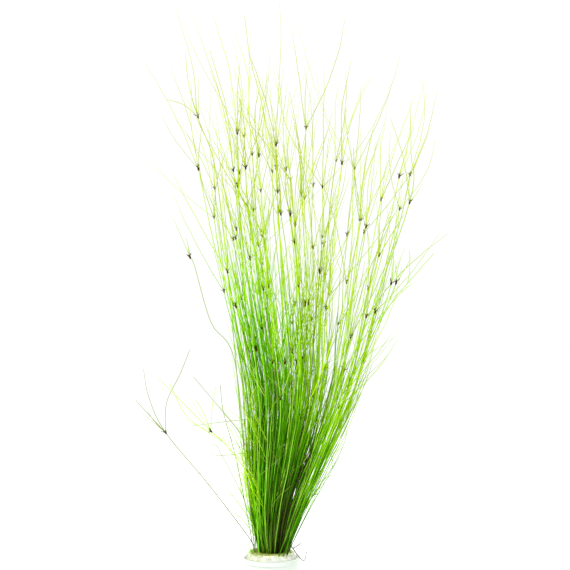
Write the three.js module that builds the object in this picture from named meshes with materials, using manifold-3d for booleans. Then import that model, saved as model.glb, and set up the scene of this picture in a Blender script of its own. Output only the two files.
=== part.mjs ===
// Umbrella hairgrass, a water plant of thin rush-like stems, in a small white growing pot.
//
// The plant is a sheaf of tufts that stand side by side on a plug of mineral wool. Each tuft has
// grown from one crown. Its tall stems end in an umbel: a dark bud from which young shoots fan out,
// like the ribs of an umbrella. Its short stems are plain and end in a point. The sheaf is narrow at
// its foot, opens with height and leans to +X. A few single stems stray out of it.
//
// Sizes are in millimetres. +Z is up, -Y faces the viewer, and the origin is the middle of the
// pot's underside.

import * as THREE from "three";
import { mergeVertices } from "three/addons/utils/BufferGeometryUtils.js";
import Module from "manifold-3d";

const wasm = await Module();
wasm.setup();

// Clear space between pieces that rest on each other
const GAP = 0.3;

// The pot, a plain tapered cup with a thick lip
const POT_HEIGHT = 46;
const LIP_RADIUS = 26;
const LIP_HEIGHT = 4;
const WALL_TOP_RADIUS = 24.4;
const WALL_FOOT_RADIUS = 21.5;
const WALL = 1.2;
const FLOOR = 2;
const POT_SIDES = 24;

// The plug of mineral wool that fills the pot and stands proud of its lip
const WOOL_TOP = 51;
const WOOL_SIDES = 18;

// The sheaf: its foot on the wool, and how it opens and leans with height
const PLANT_TOP = 547;
const REACH = PLANT_TOP - WOOL_TOP;
const FOOT_X = 2.6;
const FOOT_RADIUS = 14.8;
const SPREAD_X = 0.27;
const SPREAD_Y = 0.206;
const SPREAD_SLOWS = 0.28;
const LEAN = 24;
const LEAN_HEIGHT = 172;
const CROWD_LEFT = 0.2;
const CROWD_HEIGHT = 300;

// The crowns of the tufts, set like the seeds of a sunflower
const TUFTS = 34;
const DEAD_TUFT = 31;
const TUFT_RING = 0.88;
const GOLDEN_ANGLE = Math.PI * (3 - Math.sqrt(5));
const GOLDEN_SHARE = (Math.sqrt(5) - 1) / 2;
const CROWN_RADIUS = 1.7;
const CROWN_TOP_RADIUS = 1.66;
const CROWN_HEIGHT = 2;

// The stems of a tuft: where they stand on its crown, how they part, and how tall they are. The
// tufts past the right edge part from the others and make a clump of their own.
const STEM_RING = 1.04;
const TUFT_DRIFT = 0.14;
const RIGHT_DRIFT = 0.36;
const RIGHT_EDGE = 0.35;
const STEM_DRIFT = 0.07;
const DRIFT_TURN = 0.9;
const BOW = 5;
const UMBELS = 2;
const PLAIN_STEMS = 3;
const UMBEL_LOWEST = 110;
const UMBEL_HIGHEST = 382;
const PLAIN_SHORTEST = 75;
const PLAIN_LONGEST = 262;
const DEAD_SHORTEST = 72;
const DEAD_LONGEST = 114;
const TALL_UMBEL = 200;
const TALL_PLAIN = 150;

// Thickness, as radii
const STEM_RADIUS = 0.5;
const NECK_RADIUS = 0.38;
const PLAIN_RADIUS = 0.5;
const SHOOT_RADIUS = 0.36;
const BUD_RADIUS = 1.25;
const BUD_LENGTH = 5;
const ROD_SIDES = 3;

// Umbels: how many shoots, how long, and how far they open from the stem's own direction
const SHOOTS = 3;
const SHOOT_SHORTEST = 42;
const SHOOT_LONGEST = 104;
const FIRST_OPENING = 0.16;
const OPENING_LEAST = 0.13;
const OPENING_MOST = 0.58;
const OPENING_BIAS = 1.5;
const SHOOT_TURN = 0.35;
const SHOOT_SWAY = 0.14;
const SHOOT_RISE = 0.08;

// A stem is drawn again if it would come this close to one that stands
const CLEARANCE = 0.15;
const MOST_TRIES = 60;
const FIRST_SEED = 7100;

// Colours seen on the plant
const WHITE_PLASTIC = 0xf2f4ee;
const WOOL_COLOUR = 0xe6e9d2;
const STEM_GREEN = 0x5aa01c;
const STRAY_GREEN = 0x8fb457;
const SPROUT_GREEN = 0xb8d987;
const DEAD_BROWN = 0x4a3218;

// Single stems, each as the points [x, y, z] that its parts pass. The first part grows out of the
// wool and the others branch off it. A part may have buds, told by the numbers of their points.
const SINGLE_STEMS = {
  stray_left_low: [
    {
      line: [
        [-15, -2.5, 51.5], [-18, -6, 62], [-55, -15, 113], [-93, -22, 160.5], [-107.5, -25, 192],
        [-112, -26, 216.5],
      ],
      buds: [3],
    },
    { line: [[-93, -22, 160.5], [-111, -19, 179], [-120, -16, 188.5]] },
    { line: [[-93, -22, 160.5], [-92, -21, 187], [-80.5, -19, 211.5], [-72, -17, 233]] },
  ],
  stray_left_front: [
    {
      line: [
        [-10.5, -13, 51.5], [-13.5, -17, 93], [-21.5, -18, 124.5], [-42, -20, 151.5],
        [-53, -21, 161.5], [-85, -27, 195], [-100, -29, 210],
      ],
      buds: [4],
    },
    { line: [[-53, -21, 161.5], [-59, -18, 176], [-67, -15, 189.5]] },
    { line: [[-53, -21, 161.5], [-51.5, -25, 183.5], [-48.5, -27, 201]] },
    { line: [[-42, -20, 151.5], [-59, -29, 164], [-74.5, -34, 177.5], [-88, -37, 204.5]] },
  ],
  stray_left_back: [
    {
      line: [
        [-12, 12, 51.5], [-19.5, 20, 121], [-26.5, 21, 150.5], [-44, 22, 174], [-71.5, 24, 206.5],
      ],
    },
  ],
  stray_left_forked: [
    {
      line: [
        [-15, 2, 51.5], [-19, 2, 69.5], [-24, 2, 97.5], [-33, 4, 139.5], [-43, 5, 175.5],
        [-46, 5, 200.5],
      ],
    },
    {
      line: [
        [-24, 2, 97.5], [-36, -2, 122.5], [-43, -3, 135.5], [-49, -4, 146.5], [-55.5, -5, 148.5],
      ],
    },
  ],
  stray_left_folded: [
    {
      line: [
        [-13.5, 7, 51.5], [-18.5, 13, 108], [-20.5, 15, 138], [-21.5, 16, 164.5],
        [-26.5, 17, 167.5], [-71.5, 20, 162],
      ],
    },
    { line: [[-20.5, 15, 138], [-45, 17, 135], [-59, 18, 136.5]] },
  ],
  tall_left_stem: [
    {
      line: [
        [-14, -5.5, 51.5], [-20.5, -13, 112], [-32, -21, 224], [-52.5, -25, 257.5],
        [-67, -28, 307.5], [-71, -29, 315.5], [-73, -29, 328],
      ],
      buds: [5],
    },
  ],
  tall_left_umbel: [
    {
      line: [
        [-8, 17, 51.5], [-14.5, 24, 147], [-25, 27, 290], [-35, 27, 396.5], [-46, 26, 460.5],
        [-59.5, 25, 501.5], [-71.5, 24, 536],
      ],
      buds: [3],
    },
    { line: [[-35, 27, 396.5], [-41, 23, 451], [-48, 20, 478], [-56, 18, 505]] },
  ],
  left_edge_umbel: [
    {
      line: [
        [-14.5, 4.5, 51.5], [-25.5, 9, 149], [-40.5, 14, 310], [-52, 17, 401.5], [-67, 18, 444.5],
        [-71.5, 19, 488], [-87, 22, 543.5],
      ],
      buds: [4],
    },
    { line: [[-67, 18, 444.5], [-80, 15, 455], [-95, 12, 459.5]] },
    { line: [[-67, 18, 444.5], [-75.5, 22, 473.5], [-79, 25, 504.5]] },
  ],
  tallest_stem: [
    {
      line: [
        [4, 18.8, 51.5], [9, 22, 157.5], [10, 18, 280], [4.5, 14, 397], [6, 12, 451.5],
        [9, 11, 515], [7.6, 11, 547],
      ],
      buds: [3],
    },
    { line: [[4.5, 14, 397], [-10, 10, 461.5], [-19, 8, 496.5], [-24, 7, 534.5]] },
  ],
  tall_right_stem: [
    {
      line: [
        [11.5, -17.4, 51.5], [29.5, -24, 101], [76.5, -31, 236.5], [121.5, -36, 363],
        [122.5, -37, 406.5], [121.5, -38, 451.5],
      ],
      buds: [3],
    },
    { line: [[121.5, -36, 363], [116, -33, 402], [105.5, -31, 436]] },
  ],
  leaning_right_stem: [
    {
      line: [
        [7.5, -19, 51.5], [32, -31, 120], [70, -37, 205], [92, -40, 254], [105, -41, 292.5],
        [107, -42, 323], [110, -42, 356], [114, -42, 382],
      ],
      buds: [4],
    },
    {
      line: [
        [92, -40, 254], [101, -43, 272], [109, -44, 293], [107.5, -46, 312],
      ],
      buds: [2],
    },
    { line: [[92, -40, 254], [106, -45, 277], [118.5, -47, 292], [141, -49, 318]] },
    { line: [[118.5, -47, 292], [120.5, -46, 303], [120.5, -45, 321]] },
  ],
  stray_right_low: [
    {
      line: [
        [15, -15, 51.5], [24, -20, 78.5], [34.5, -22, 100.5], [54, -25, 129.5], [65, -26, 152],
        [67, -26, 163],
      ],
    },
    { line: [[54, -25, 129.5], [54, -27, 137.5], [52, -28, 144.5]] },
  ],
  stray_over_rim: [
    {
      line: [
        [14.5, -12.5, 51.5], [16.5, -13, 58], [17.5, -13.5, 59], [19.5, -14, 56.5],
        [24, -15, 50.5], [29.5, -16, 46], [32, -16, 54],
      ],
    },
    { line: [[19.5, -14, 56.5], [23, -14.5, 58.5], [27, -15, 61.5]] },
  ],
  young_sprouts: [
    { line: [[-17.5, -10, 51.5], [-18.5, -10, 55], [-20.5, -10, 60]] },
    { line: [[-17.5, -10, 51.8], [-17.5, -10.5, 55], [-18, -11, 62]] },
    { line: [[-17.5, -10, 51.8], [-16.5, -10, 54], [-15, -10, 59]] },
  ],
};

// Numbers from 0 to 1 that are the same on every run.
function randomStream(seed) {
  let state = seed >>> 0;
  return () => {
    state = (state + 0x6d2b79f5) >>> 0;
    let word = Math.imul(state ^ (state >>> 15), state | 1);
    word = (word + Math.imul(word ^ (word >>> 7), word | 61)) ^ word;
    return ((word ^ (word >>> 14)) >>> 0) / 4294967296;
  };
}

const between = (low, high, share) => low + (high - low) * share;
const eitherWay = (random) => 2 * random() - 1;

function smoothStep(share) {
  const t = Math.min(1, Math.max(0, share));
  return t * t * (3 - 2 * t);
}

// Where the stem at (u, v) of the sheaf's unit circle is at height h above the wool.
function sheafPoint(u, v, h) {
  const t = h / REACH;
  const opened = h * (1 - SPREAD_SLOWS * t * t);
  const crowded = u - CROWD_LEFT * Math.min(1, h / CROWD_HEIGHT) * (1 - u * u);
  return new THREE.Vector3(
    FOOT_X + LEAN * smoothStep(h / LEAN_HEIGHT) + (FOOT_RADIUS + SPREAD_X * opened) * crowded,
    (FOOT_RADIUS + SPREAD_Y * opened) * v,
    WOOL_TOP + GAP + h,
  );
}

// A closed mesh as a solid.
function solidOf(geometry) {
  const bare = geometry.clone();
  bare.deleteAttribute("normal");
  bare.deleteAttribute("uv");
  const merged = mergeVertices(bare, 1e-4);
  return new wasm.Manifold(
    new wasm.Mesh({
      numProp: 3,
      vertProperties: merged.attributes.position.array,
      triVerts: new Uint32Array(merged.index.array),
    }),
  );
}

// Solids as one, with any closed pocket between crossing stems filled in.
function join(solids) {
  const joined = solids.reduce((all, solid) => all.add(solid));
  return joined.decompose().reduce((most, piece) => (piece.volume() > most.volume() ? piece : most));
}

// A solid as a named mesh of the model.
function meshOf(name, solid, colour, roughness) {
  const faces = solid.getMesh();
  const geometry = new THREE.BufferGeometry()
    .setAttribute("position", new THREE.BufferAttribute(new Float32Array(faces.vertProperties), 3))
    .setIndex(new THREE.BufferAttribute(new Uint32Array(faces.triVerts), 1));
  geometry.computeVertexNormals();
  const finish = new THREE.MeshStandardMaterial({ color: colour, roughness, metalness: 0 });
  const mesh = new THREE.Mesh(geometry, finish);
  mesh.name = name;
  return mesh;
}

// A direction square to a line, turned round it by an angle.
function outwardOf(along, turn) {
  const aside = Math.abs(along.y) < 0.8 ? new THREE.Vector3(0, 1, 0) : new THREE.Vector3(0, 0, 1);
  const side = aside.cross(along).normalize();
  const front = new THREE.Vector3().crossVectors(side, along);
  return side.multiplyScalar(Math.sin(turn)).addScaledVector(front, Math.cos(turn));
}

// A rod from its root to its pointed tip, bent through the points of its path.
function rod({ points, radii, twist = 0 }) {
  const steps = points.length - 1;
  const geometry = new THREE.ConeGeometry(1, 1, ROD_SIDES, steps);
  const place = geometry.attributes.position;
  for (let i = 0; i < place.count; i += 1) {
    const level = Math.round((place.getY(i) + 0.5) * steps);
    const isTip = level === steps;
    const ahead = points[isTip ? steps : level + 1];
    const behind = points[Math.max(0, level - 1)];
    const along = ahead.clone().sub(behind).normalize();
    const unit = isTip ? 0 : radii[level] / (1 - level / steps);
    const reach = Math.hypot(place.getX(i), place.getZ(i)) * unit;
    const turn = Math.atan2(place.getX(i), place.getZ(i)) + twist;
    const point = points[level].clone().addScaledVector(outwardOf(along, turn), reach);
    place.setXYZ(i, point.x, point.y, point.z);
  }
  return solidOf(geometry);
}

// The straight pieces of some paths, for measuring how close two stems pass.
function chainOf(paths) {
  return paths.flatMap(({ points, radii }) =>
    points.slice(1).map((end, i) => ({
      start: points[i],
      end,
      radius: Math.max(radii[i], radii[i + 1]),
    })),
  );
}

// Least distance between two straight pieces.
function apart(one, other) {
  const d1 = one.end.clone().sub(one.start);
  const d2 = other.end.clone().sub(other.start);
  const r = one.start.clone().sub(other.start);
  const a = d1.dot(d1);
  const b = d1.dot(d2);
  const c = d1.dot(r);
  const e = d2.dot(d2);
  const f = d2.dot(r);
  const spread = a * e - b * b;
  const s0 = spread > 1e-9 ? Math.min(1, Math.max(0, (b * f - c * e) / spread)) : 0;
  const t = Math.min(1, Math.max(0, (b * s0 + f) / e));
  const s = Math.min(1, Math.max(0, (b * t - c) / a));
  return r.addScaledVector(d1, s).addScaledVector(d2, -t).length();
}

function isClear(chain, standing) {
  return chain.every((piece) =>
    standing.every((other) => apart(piece, other) > piece.radius + other.radius + CLEARANCE),
  );
}

// A path along a line of points. It swells at each bud and is thinner past the first one.
function pathAlong(line, buds, twist = 0) {
  const points = [];
  const radii = [];
  const shootFrom = buds.length > 0 ? buds[0] : 0;
  line.forEach((point, i) => {
    if (buds.includes(i)) {
      const axis = point.clone().sub(line[i - 1]).normalize();
      points.push(point.clone().addScaledVector(axis, -BUD_LENGTH / 2));
      points.push(point);
      points.push(point.clone().addScaledVector(axis, BUD_LENGTH / 2));
      radii.push(NECK_RADIUS, BUD_RADIUS, SHOOT_RADIUS);
      return;
    }
    points.push(point);
    radii.push(i < shootFrom ? between(STEM_RADIUS, NECK_RADIUS, i / shootFrom) : SHOOT_RADIUS);
  });
  radii[radii.length - 1] = 0;
  return { points, radii, twist };
}

// The line of one stem of the sheaf from its crown to its top.
function stemLine(stem, steps) {
  const points = [];
  for (let i = 0; i <= steps; i += 1) {
    const share = i / steps;
    const h = between(CROWN_HEIGHT / 4, stem.length, share);
    const risen = h / REACH;
    const point = sheafPoint(stem.u + stem.driftU * risen, stem.v + stem.driftV * risen, h);
    const bend = 4 * share * (1 - share);
    points.push(point.add(new THREE.Vector3(stem.bowX * bend, stem.bowY * bend, 0)));
  }
  return points;
}

// A shoot that leaves a bud, as its root, elbow and tip.
function shootLine(random, bud, axis, turn, opening) {
  const outward = outwardOf(axis, turn);
  const heading = axis.clone().multiplyScalar(Math.cos(opening));
  heading.addScaledVector(outward, Math.sin(opening));
  const swayX = SHOOT_SWAY * eitherWay(random);
  const swayY = SHOOT_SWAY * eitherWay(random);
  const sway = new THREE.Vector3(swayX, swayY, SHOOT_RISE);
  const room = (PLANT_TOP - bud.z) / Math.max(0.05, heading.z + sway.z);
  const length = Math.min(between(SHOOT_SHORTEST, SHOOT_LONGEST, random()), room);
  return [
    bud.clone().addScaledVector(outward, 0.36 * BUD_RADIUS),
    bud.clone().addScaledVector(heading, 0.55 * length).addScaledVector(sway, 0.2 * length),
    bud.clone().addScaledVector(heading, length).addScaledVector(sway, length),
  ];
}

// A stem with its umbel. The first shoot carries on from the stem through the bud and has an
// elbow. The side shoots are straight.
function umbelPaths(random, stem) {
  const line = stemLine(stem, stem.length > TALL_UMBEL ? 3 : 2);
  const last = line.length - 1;
  const axis = line[last].clone().sub(line[last - 1]).normalize();
  const twist = 2 * Math.PI * random();
  const shoots = [];
  for (let k = 0; k < SHOOTS; k += 1) {
    const turn = twist + (2 * Math.PI * k) / SHOOTS + SHOOT_TURN * eitherWay(random);
    const least = k === 0 ? 0 : OPENING_LEAST;
    const most = k === 0 ? FIRST_OPENING : OPENING_MOST;
    const opening = between(least, most, random() ** OPENING_BIAS);
    shoots.push(shootLine(random, line[last], axis, turn, opening));
  }
  const [first, ...others] = shoots;
  return [
    pathAlong([...line, ...first.slice(1)], [last], twist),
    ...others.map(([root, , tip]) => pathAlong([root, tip], [])),
  ];
}

// A stem that ends in a point. A tall one bends halfway up.
function plainPath(stem) {
  const points = stemLine(stem, stem.length > TALL_PLAIN ? 2 : 1);
  const radii = points.map((_, i) => between(PLAIN_RADIUS, NECK_RADIUS, i / 2));
  radii[radii.length - 1] = 0;
  return { points, radii };
}

// A stem on a crown. It drifts with its tuft, and parts from it on its own side of the crown.
function drawStem(random, base, place, length) {
  const drift = STEM_DRIFT * random();
  const heading = place + DRIFT_TURN * eitherWay(random);
  const bowX = BOW * eitherWay(random);
  const bowY = BOW * eitherWay(random);
  return {
    u: base.u + (STEM_RING / FOOT_RADIUS) * Math.cos(place),
    v: base.v + (STEM_RING / FOOT_RADIUS) * Math.sin(place),
    driftU: base.driftU + drift * Math.cos(heading),
    driftV: base.driftV + drift * Math.sin(heading),
    bowX,
    bowY,
    length,
  };
}

// The low disc of joined stem feet that a tuft grows from.
function crown({ u, v }, turn) {
  const geometry = new THREE.CylinderGeometry(CROWN_TOP_RADIUS, CROWN_RADIUS, CROWN_HEIGHT, 5, 1);
  geometry.rotateX(Math.PI / 2);
  geometry.rotateZ(turn + Math.PI / 2);
  const foot = sheafPoint(u, v, 0);
  geometry.translate(foot.x, foot.y, foot.z + CROWN_HEIGHT / 2);
  return solidOf(geometry);
}

// Draws a stem until it stands clear of the others, and leaves it out if it never does.
function grow(standing, draw) {
  for (let tries = 0; tries < MOST_TRIES; tries += 1) {
    const paths = draw();
    const chain = chainOf(paths);
    if (isClear(chain, standing)) {
      standing.push(...chain);
      return paths;
    }
  }
  return [];
}

// One tuft: its crown, its umbels and its plain stems.
function tuft(index, standing) {
  const random = randomStream(FIRST_SEED + index);
  const ring = TUFT_RING * Math.sqrt((index + 0.5) / TUFTS);
  const u = ring * Math.cos(index * GOLDEN_ANGLE);
  const v = ring * Math.sin(index * GOLDEN_ANGLE);
  const toRight = RIGHT_DRIFT * smoothStep(u / RIGHT_EDGE - 1);
  const driftU = TUFT_DRIFT * eitherWay(random) + toRight;
  const driftV = TUFT_DRIFT * eitherWay(random);
  const base = { u, v, driftU, driftV };
  const isDead = index === DEAD_TUFT;
  const umbels = isDead ? 0 : UMBELS;
  const stems = UMBELS + PLAIN_STEMS;
  const firstPlace = 2 * Math.PI * random();
  const paths = [];
  for (let k = 0; k < stems; k += 1) {
    const place = firstPlace + (4 * Math.PI * k) / stems;
    const rank = ((index * UMBELS + k + 1) * GOLDEN_SHARE) % 1;
    const share = random();
    const umbelLength = between(UMBEL_LOWEST, UMBEL_HIGHEST, rank);
    const plainLength = isDead
      ? between(DEAD_SHORTEST, DEAD_LONGEST, share)
      : between(PLAIN_SHORTEST, PLAIN_LONGEST, share);
    const draw = () =>
      k < umbels
        ? umbelPaths(random, drawStem(random, base, place, umbelLength))
        : [plainPath(drawStem(random, base, place, plainLength))];
    paths.push(...grow(standing, draw));
  }
  return join([crown(base, firstPlace), ...paths.map(rod)]);
}

// A turned body from its outline of [radius, height] pairs.
function turned(outline, sides) {
  const geometry = new THREE.LatheGeometry(
    outline.map(([radius, height]) => new THREE.Vector2(radius, height)),
    sides,
  );
  geometry.rotateX(Math.PI / 2);
  return solidOf(geometry);
}

const plant = new THREE.Group();

// The pot's outline runs out along the underside, up the wall, over the lip and down the inside.
const pot = turned(
  [
    [0, 0],
    [WALL_FOOT_RADIUS, 0],
    [WALL_TOP_RADIUS, POT_HEIGHT - LIP_HEIGHT],
    [LIP_RADIUS, POT_HEIGHT - LIP_HEIGHT],
    [LIP_RADIUS, POT_HEIGHT - 1],
    [LIP_RADIUS - 1, POT_HEIGHT],
    [WALL_TOP_RADIUS - WALL, POT_HEIGHT],
    [WALL_FOOT_RADIUS - WALL, FLOOR],
    [0, FLOOR],
  ],
  POT_SIDES,
);
plant.add(meshOf("pot", pot, WHITE_PLASTIC, 0.4));

// The plug follows the pot's inside and has a soft shoulder.
const wool = turned(
  [
    [0, FLOOR + GAP],
    [WALL_FOOT_RADIUS - WALL - 2 * GAP, FLOOR + GAP],
    [WALL_TOP_RADIUS - WALL - 2 * GAP, POT_HEIGHT],
    [WALL_TOP_RADIUS - WALL - 2 * GAP, WOOL_TOP - 1],
    [WALL_TOP_RADIUS - WALL - 1.4, WOOL_TOP],
    [0, WOOL_TOP],
  ],
  WOOL_SIDES,
);
plant.add(meshOf("wool_plug", wool, WOOL_COLOUR, 0.95));

// The single stems come first, so that every stem of the tufts keeps clear of them.
const standing = [];
for (const [name, parts] of Object.entries(SINGLE_STEMS)) {
  const paths = parts.map(({ line, buds = [] }) =>
    pathAlong(
      line.map((point) => new THREE.Vector3(...point)),
      buds,
    ),
  );
  standing.push(...chainOf(paths));
  const colour = name === "young_sprouts" ? SPROUT_GREEN : STRAY_GREEN;
  plant.add(meshOf(name, join(paths.map(rod)), colour, 0.5));
}

for (let index = 0; index < TUFTS; index += 1) {
  const isDead = index === DEAD_TUFT;
  const name = isDead ? "dead_tuft" : `tuft_${String(index + 1).padStart(2, "0")}`;
  plant.add(meshOf(name, tuft(index, standing), isDead ? DEAD_BROWN : STEM_GREEN, 0.5));
}

export default plant;
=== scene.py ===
# %% [markdown]
# # Umbrella hairgrass in a growing pot
#
# The plant is a sheaf of several hundred stems, each about as thick as a pencil lead. They stand in
# a plug of mineral wool in a small white pot. Most tall stems end in a brown bud, and from the bud
# fine young shoots fan out like the ribs of an umbrella.
#
# The frame holds a plain solid for the pot, the plug, every tuft and every single stem. This lesson
# grows the fine plant in the same places: it repeats the rule that placed the solids' stems, adds
# the hair-thin ones that are too many for solids, and gives each surface its finish.

# %% Load the frame
import math

import bpy
import numpy as np
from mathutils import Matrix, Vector, noise as shapes


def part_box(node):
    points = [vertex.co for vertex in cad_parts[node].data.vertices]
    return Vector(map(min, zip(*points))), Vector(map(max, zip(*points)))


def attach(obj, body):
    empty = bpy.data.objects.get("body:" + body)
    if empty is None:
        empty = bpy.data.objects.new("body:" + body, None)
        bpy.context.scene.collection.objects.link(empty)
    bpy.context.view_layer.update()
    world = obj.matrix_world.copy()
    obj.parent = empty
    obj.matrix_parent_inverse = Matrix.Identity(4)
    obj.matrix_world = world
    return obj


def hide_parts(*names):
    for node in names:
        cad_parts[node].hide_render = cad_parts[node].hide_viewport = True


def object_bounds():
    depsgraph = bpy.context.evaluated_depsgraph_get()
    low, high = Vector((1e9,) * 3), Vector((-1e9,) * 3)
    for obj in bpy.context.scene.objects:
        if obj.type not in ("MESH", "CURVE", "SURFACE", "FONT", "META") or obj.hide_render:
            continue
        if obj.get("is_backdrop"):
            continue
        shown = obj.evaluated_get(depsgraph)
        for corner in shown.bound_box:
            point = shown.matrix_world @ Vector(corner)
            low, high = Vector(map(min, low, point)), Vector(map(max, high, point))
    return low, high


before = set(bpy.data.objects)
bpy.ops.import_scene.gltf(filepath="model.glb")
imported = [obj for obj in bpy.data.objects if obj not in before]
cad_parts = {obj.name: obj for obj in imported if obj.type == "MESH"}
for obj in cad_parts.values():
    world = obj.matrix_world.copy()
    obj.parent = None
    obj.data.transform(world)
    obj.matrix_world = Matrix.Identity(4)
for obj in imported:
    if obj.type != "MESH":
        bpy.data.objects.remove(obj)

CAD_LOW, CAD_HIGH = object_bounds()
MM = 0.001


def in_mm(corner):
    return [round(side / MM, 1) for side in corner]


print("solids:", len(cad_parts), "box in mm:", in_mm(CAD_HIGH - CAD_LOW))

# %% [markdown]
# ## The camera
#
# The plant is seen straight from the front, from level with its middle, and its pot runs out of the
# picture at the bottom. A long lens from 1.2 metres keeps the far stems the same size as the near
# ones. The width of the picture at the plant sets the lens, so no number has to be guessed twice.

# %% Camera
VIEW_WIDTH = 0.513
CAMERA_PLACE = Vector((0.0126, -1.2, 0.2907))
SENSOR_WIDTH = 36

camera_data = bpy.data.cameras.new("camera")
camera_data.sensor_width = SENSOR_WIDTH
camera_data.lens = SENSOR_WIDTH * -CAMERA_PLACE.y / VIEW_WIDTH
camera = bpy.data.objects.new("camera", camera_data)
camera.location = CAMERA_PLACE
camera.rotation_euler = (math.radians(90), 0, 0)
bpy.context.scene.collection.objects.link(camera)
bpy.context.scene.camera = camera
print("lens:", round(camera_data.lens, 1), "mm")

# %% [markdown]
# ## Light
#
# A product picture on white has light from everywhere: thin green stems then glow, and only the
# crowded foot of the sheaf goes dark. A white world gives that light. One large soft lamp from the
# upper left shapes the stems a little, and a second one behind lights their edges.

# %% Light
WORLD_STRENGTH = 1.04
PLANT_MIDDLE = Vector((0.02, 0, 0.27))

world = bpy.data.worlds.new("white studio")
world.use_nodes = True
world.node_tree.nodes["Background"].inputs["Color"].default_value = (1, 1, 1, 1)
world.node_tree.nodes["Background"].inputs["Strength"].default_value = WORLD_STRENGTH
bpy.context.scene.world = world
bpy.context.scene.view_settings.view_transform = "Standard"


def soft_lamp(name, place, size, watts):
    data = bpy.data.lights.new(name, "AREA")
    data.size = size
    data.energy = watts
    lamp = bpy.data.objects.new(name, data)
    lamp.location = place
    lamp.rotation_euler = (PLANT_MIDDLE - Vector(place)).to_track_quat("-Z", "Y").to_euler()
    bpy.context.scene.collection.objects.link(lamp)
    return lamp


lamps = [
    soft_lamp("key lamp", (-1.0, -1.2, 1.2), size=0.7, watts=24),
    soft_lamp("back lamp", (0.9, 0.9, 1.1), size=0.8, watts=12),
]
print("lamps:", [lamp.name for lamp in lamps])

# %% [markdown]
# ## Writing a finish
#
# Every finish below is a small network of nodes: textures in, one shader out. Short helpers keep
# each recipe readable. `finish` starts a material with its shader, `add` puts in a node and wires
# its inputs, `mix` blends two colours and `noise` gives spots. The spots are laid out in metres on
# the plant, so they are the same size on every piece. An image would need a flat map of each piece.

# %% Helpers for finishes
def finish(name, roughness, specular, sheen=0.0):
    material = bpy.data.materials.new(name)
    material.use_nodes = True
    shader = material.node_tree.nodes["Principled BSDF"]
    shader.inputs["Roughness"].default_value = roughness
    shader.inputs["Specular IOR Level"].default_value = specular
    shader.inputs["Sheen Weight"].default_value = sheen
    return material, shader


def wire(material, value, socket):
    """Gives a socket its value: another node's output, or a number or colour."""
    if isinstance(value, bpy.types.NodeSocket):
        material.node_tree.links.new(value, socket)
    else:
        socket.default_value = value


def add(material, kind, settings=None, **inputs):
    """A node whose inputs are told by name, or by number as i0, i1 and so on."""
    node = material.node_tree.nodes.new("ShaderNode" + kind)
    for key, value in (settings or {}).items():
        setattr(node, key, value)
    for key, value in inputs.items():
        name = int(key[1:]) if key[1:].isdigit() else key.replace("_", " ")
        wire(material, value, node.inputs[name])
    return node.outputs[0]


def mix(material, share, one, other):
    """Colour one where share is 0 and other where it is 1."""
    node = add(material, "Mix", {"data_type": "RGBA"}).node
    for key, value in (("Factor_Float", share), ("A_Color", one), ("B_Color", other)):
        socket = next(s for s in node.inputs if s.identifier == key)
        wire(material, (*value, 1) if isinstance(value, tuple) else value, socket)
    return next(s for s in node.outputs if s.identifier == "Result_Color")


def object_place(material, stretch=(1, 1, 1)):
    """The place on the plant, in metres, stretched along each axis."""
    place = add(material, "TexCoord").node.outputs["Object"]
    return add(material, "Mapping", Vector=place, Scale=stretch)


def noise(material, stretch, detail=3.0, roughness=0.5):
    """Noise with about so many spots in a metre along each axis."""
    place = object_place(material, stretch)
    return add(material, "TexNoise", Vector=place, Scale=1.0, Detail=detail, Roughness=roughness)


def paint(material, shader, colour, roughness=None):
    material.node_tree.links.new(colour, shader.inputs["Base Color"])
    if roughness is not None:
        material.node_tree.links.new(roughness, shader.inputs["Roughness"])


print("a finish is put together from", [helper.__name__ for helper in (add, mix, noise, paint)])

# %% [markdown]
# ## The floor
#
# The floor is the first surface to get a finish. It could be one plain white, but a real studio
# floor is never quite even, so a slow noise runs it between two near whites. It is bright enough to
# melt into the background, and it reaches so far that its edge is out of sight.

# %% Floor
FLOOR_REACH = 6.0
FLOOR_WHITES = [(0.965, 0.965, 0.965), (0.985, 0.985, 0.985)]

floor_finish, floor_shader = finish("pale floor", 0.7, specular=0.2)
floor_grain = noise(floor_finish, (3, 3, 3))
paint(floor_finish, floor_shader, mix(floor_finish, floor_grain, *FLOOR_WHITES))
floor_mesh = bpy.data.meshes.new("floor")
floor_corners = [(x * FLOOR_REACH, y * FLOOR_REACH, 0) for x, y in ((-1, -1), (1, -1), (1, 1), (-1, 1))]
floor_mesh.from_pydata(floor_corners, [], [(0, 1, 2, 3)])
floor_mesh.materials.append(floor_finish)
floor = bpy.data.objects.new("floor", floor_mesh)
bpy.context.scene.collection.objects.link(floor)
floor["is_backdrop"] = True
print("floor:", 2 * FLOOR_REACH, "m across")

# %% [markdown]
# ## The rule of the sheaf
#
# A stem of the sheaf is told by where it stands in a circle, at (u, v), and by its height h. One
# function says where such a stem is at each height: the circle is small on the wool, it opens as it
# rises, it leans to +X, and the stems crowd a little to the left. The solids follow the same rule,
# so these numbers are theirs, in millimetres. Height h is counted from the wool.

# %% Where a stem of the sheaf is at each height
GAP = 0.3
WOOL_TOP = round(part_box("wool_plug")[1].z / MM, 2)
PLANT_TOP = round(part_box("tallest_stem")[1].z / MM, 2)
REACH = PLANT_TOP - WOOL_TOP
FOOT_X = 2.6
FOOT_RADIUS = 14.8
SPREAD_X = 0.27
SPREAD_Y = 0.206
SPREAD_SLOWS = 0.28
LEAN = 24
LEAN_HEIGHT = 172
CROWD_LEFT = 0.2
CROWD_HEIGHT = 300


def smooth_step(share):
    t = np.clip(share, 0, 1)
    return t * t * (3 - 2 * t)


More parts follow.
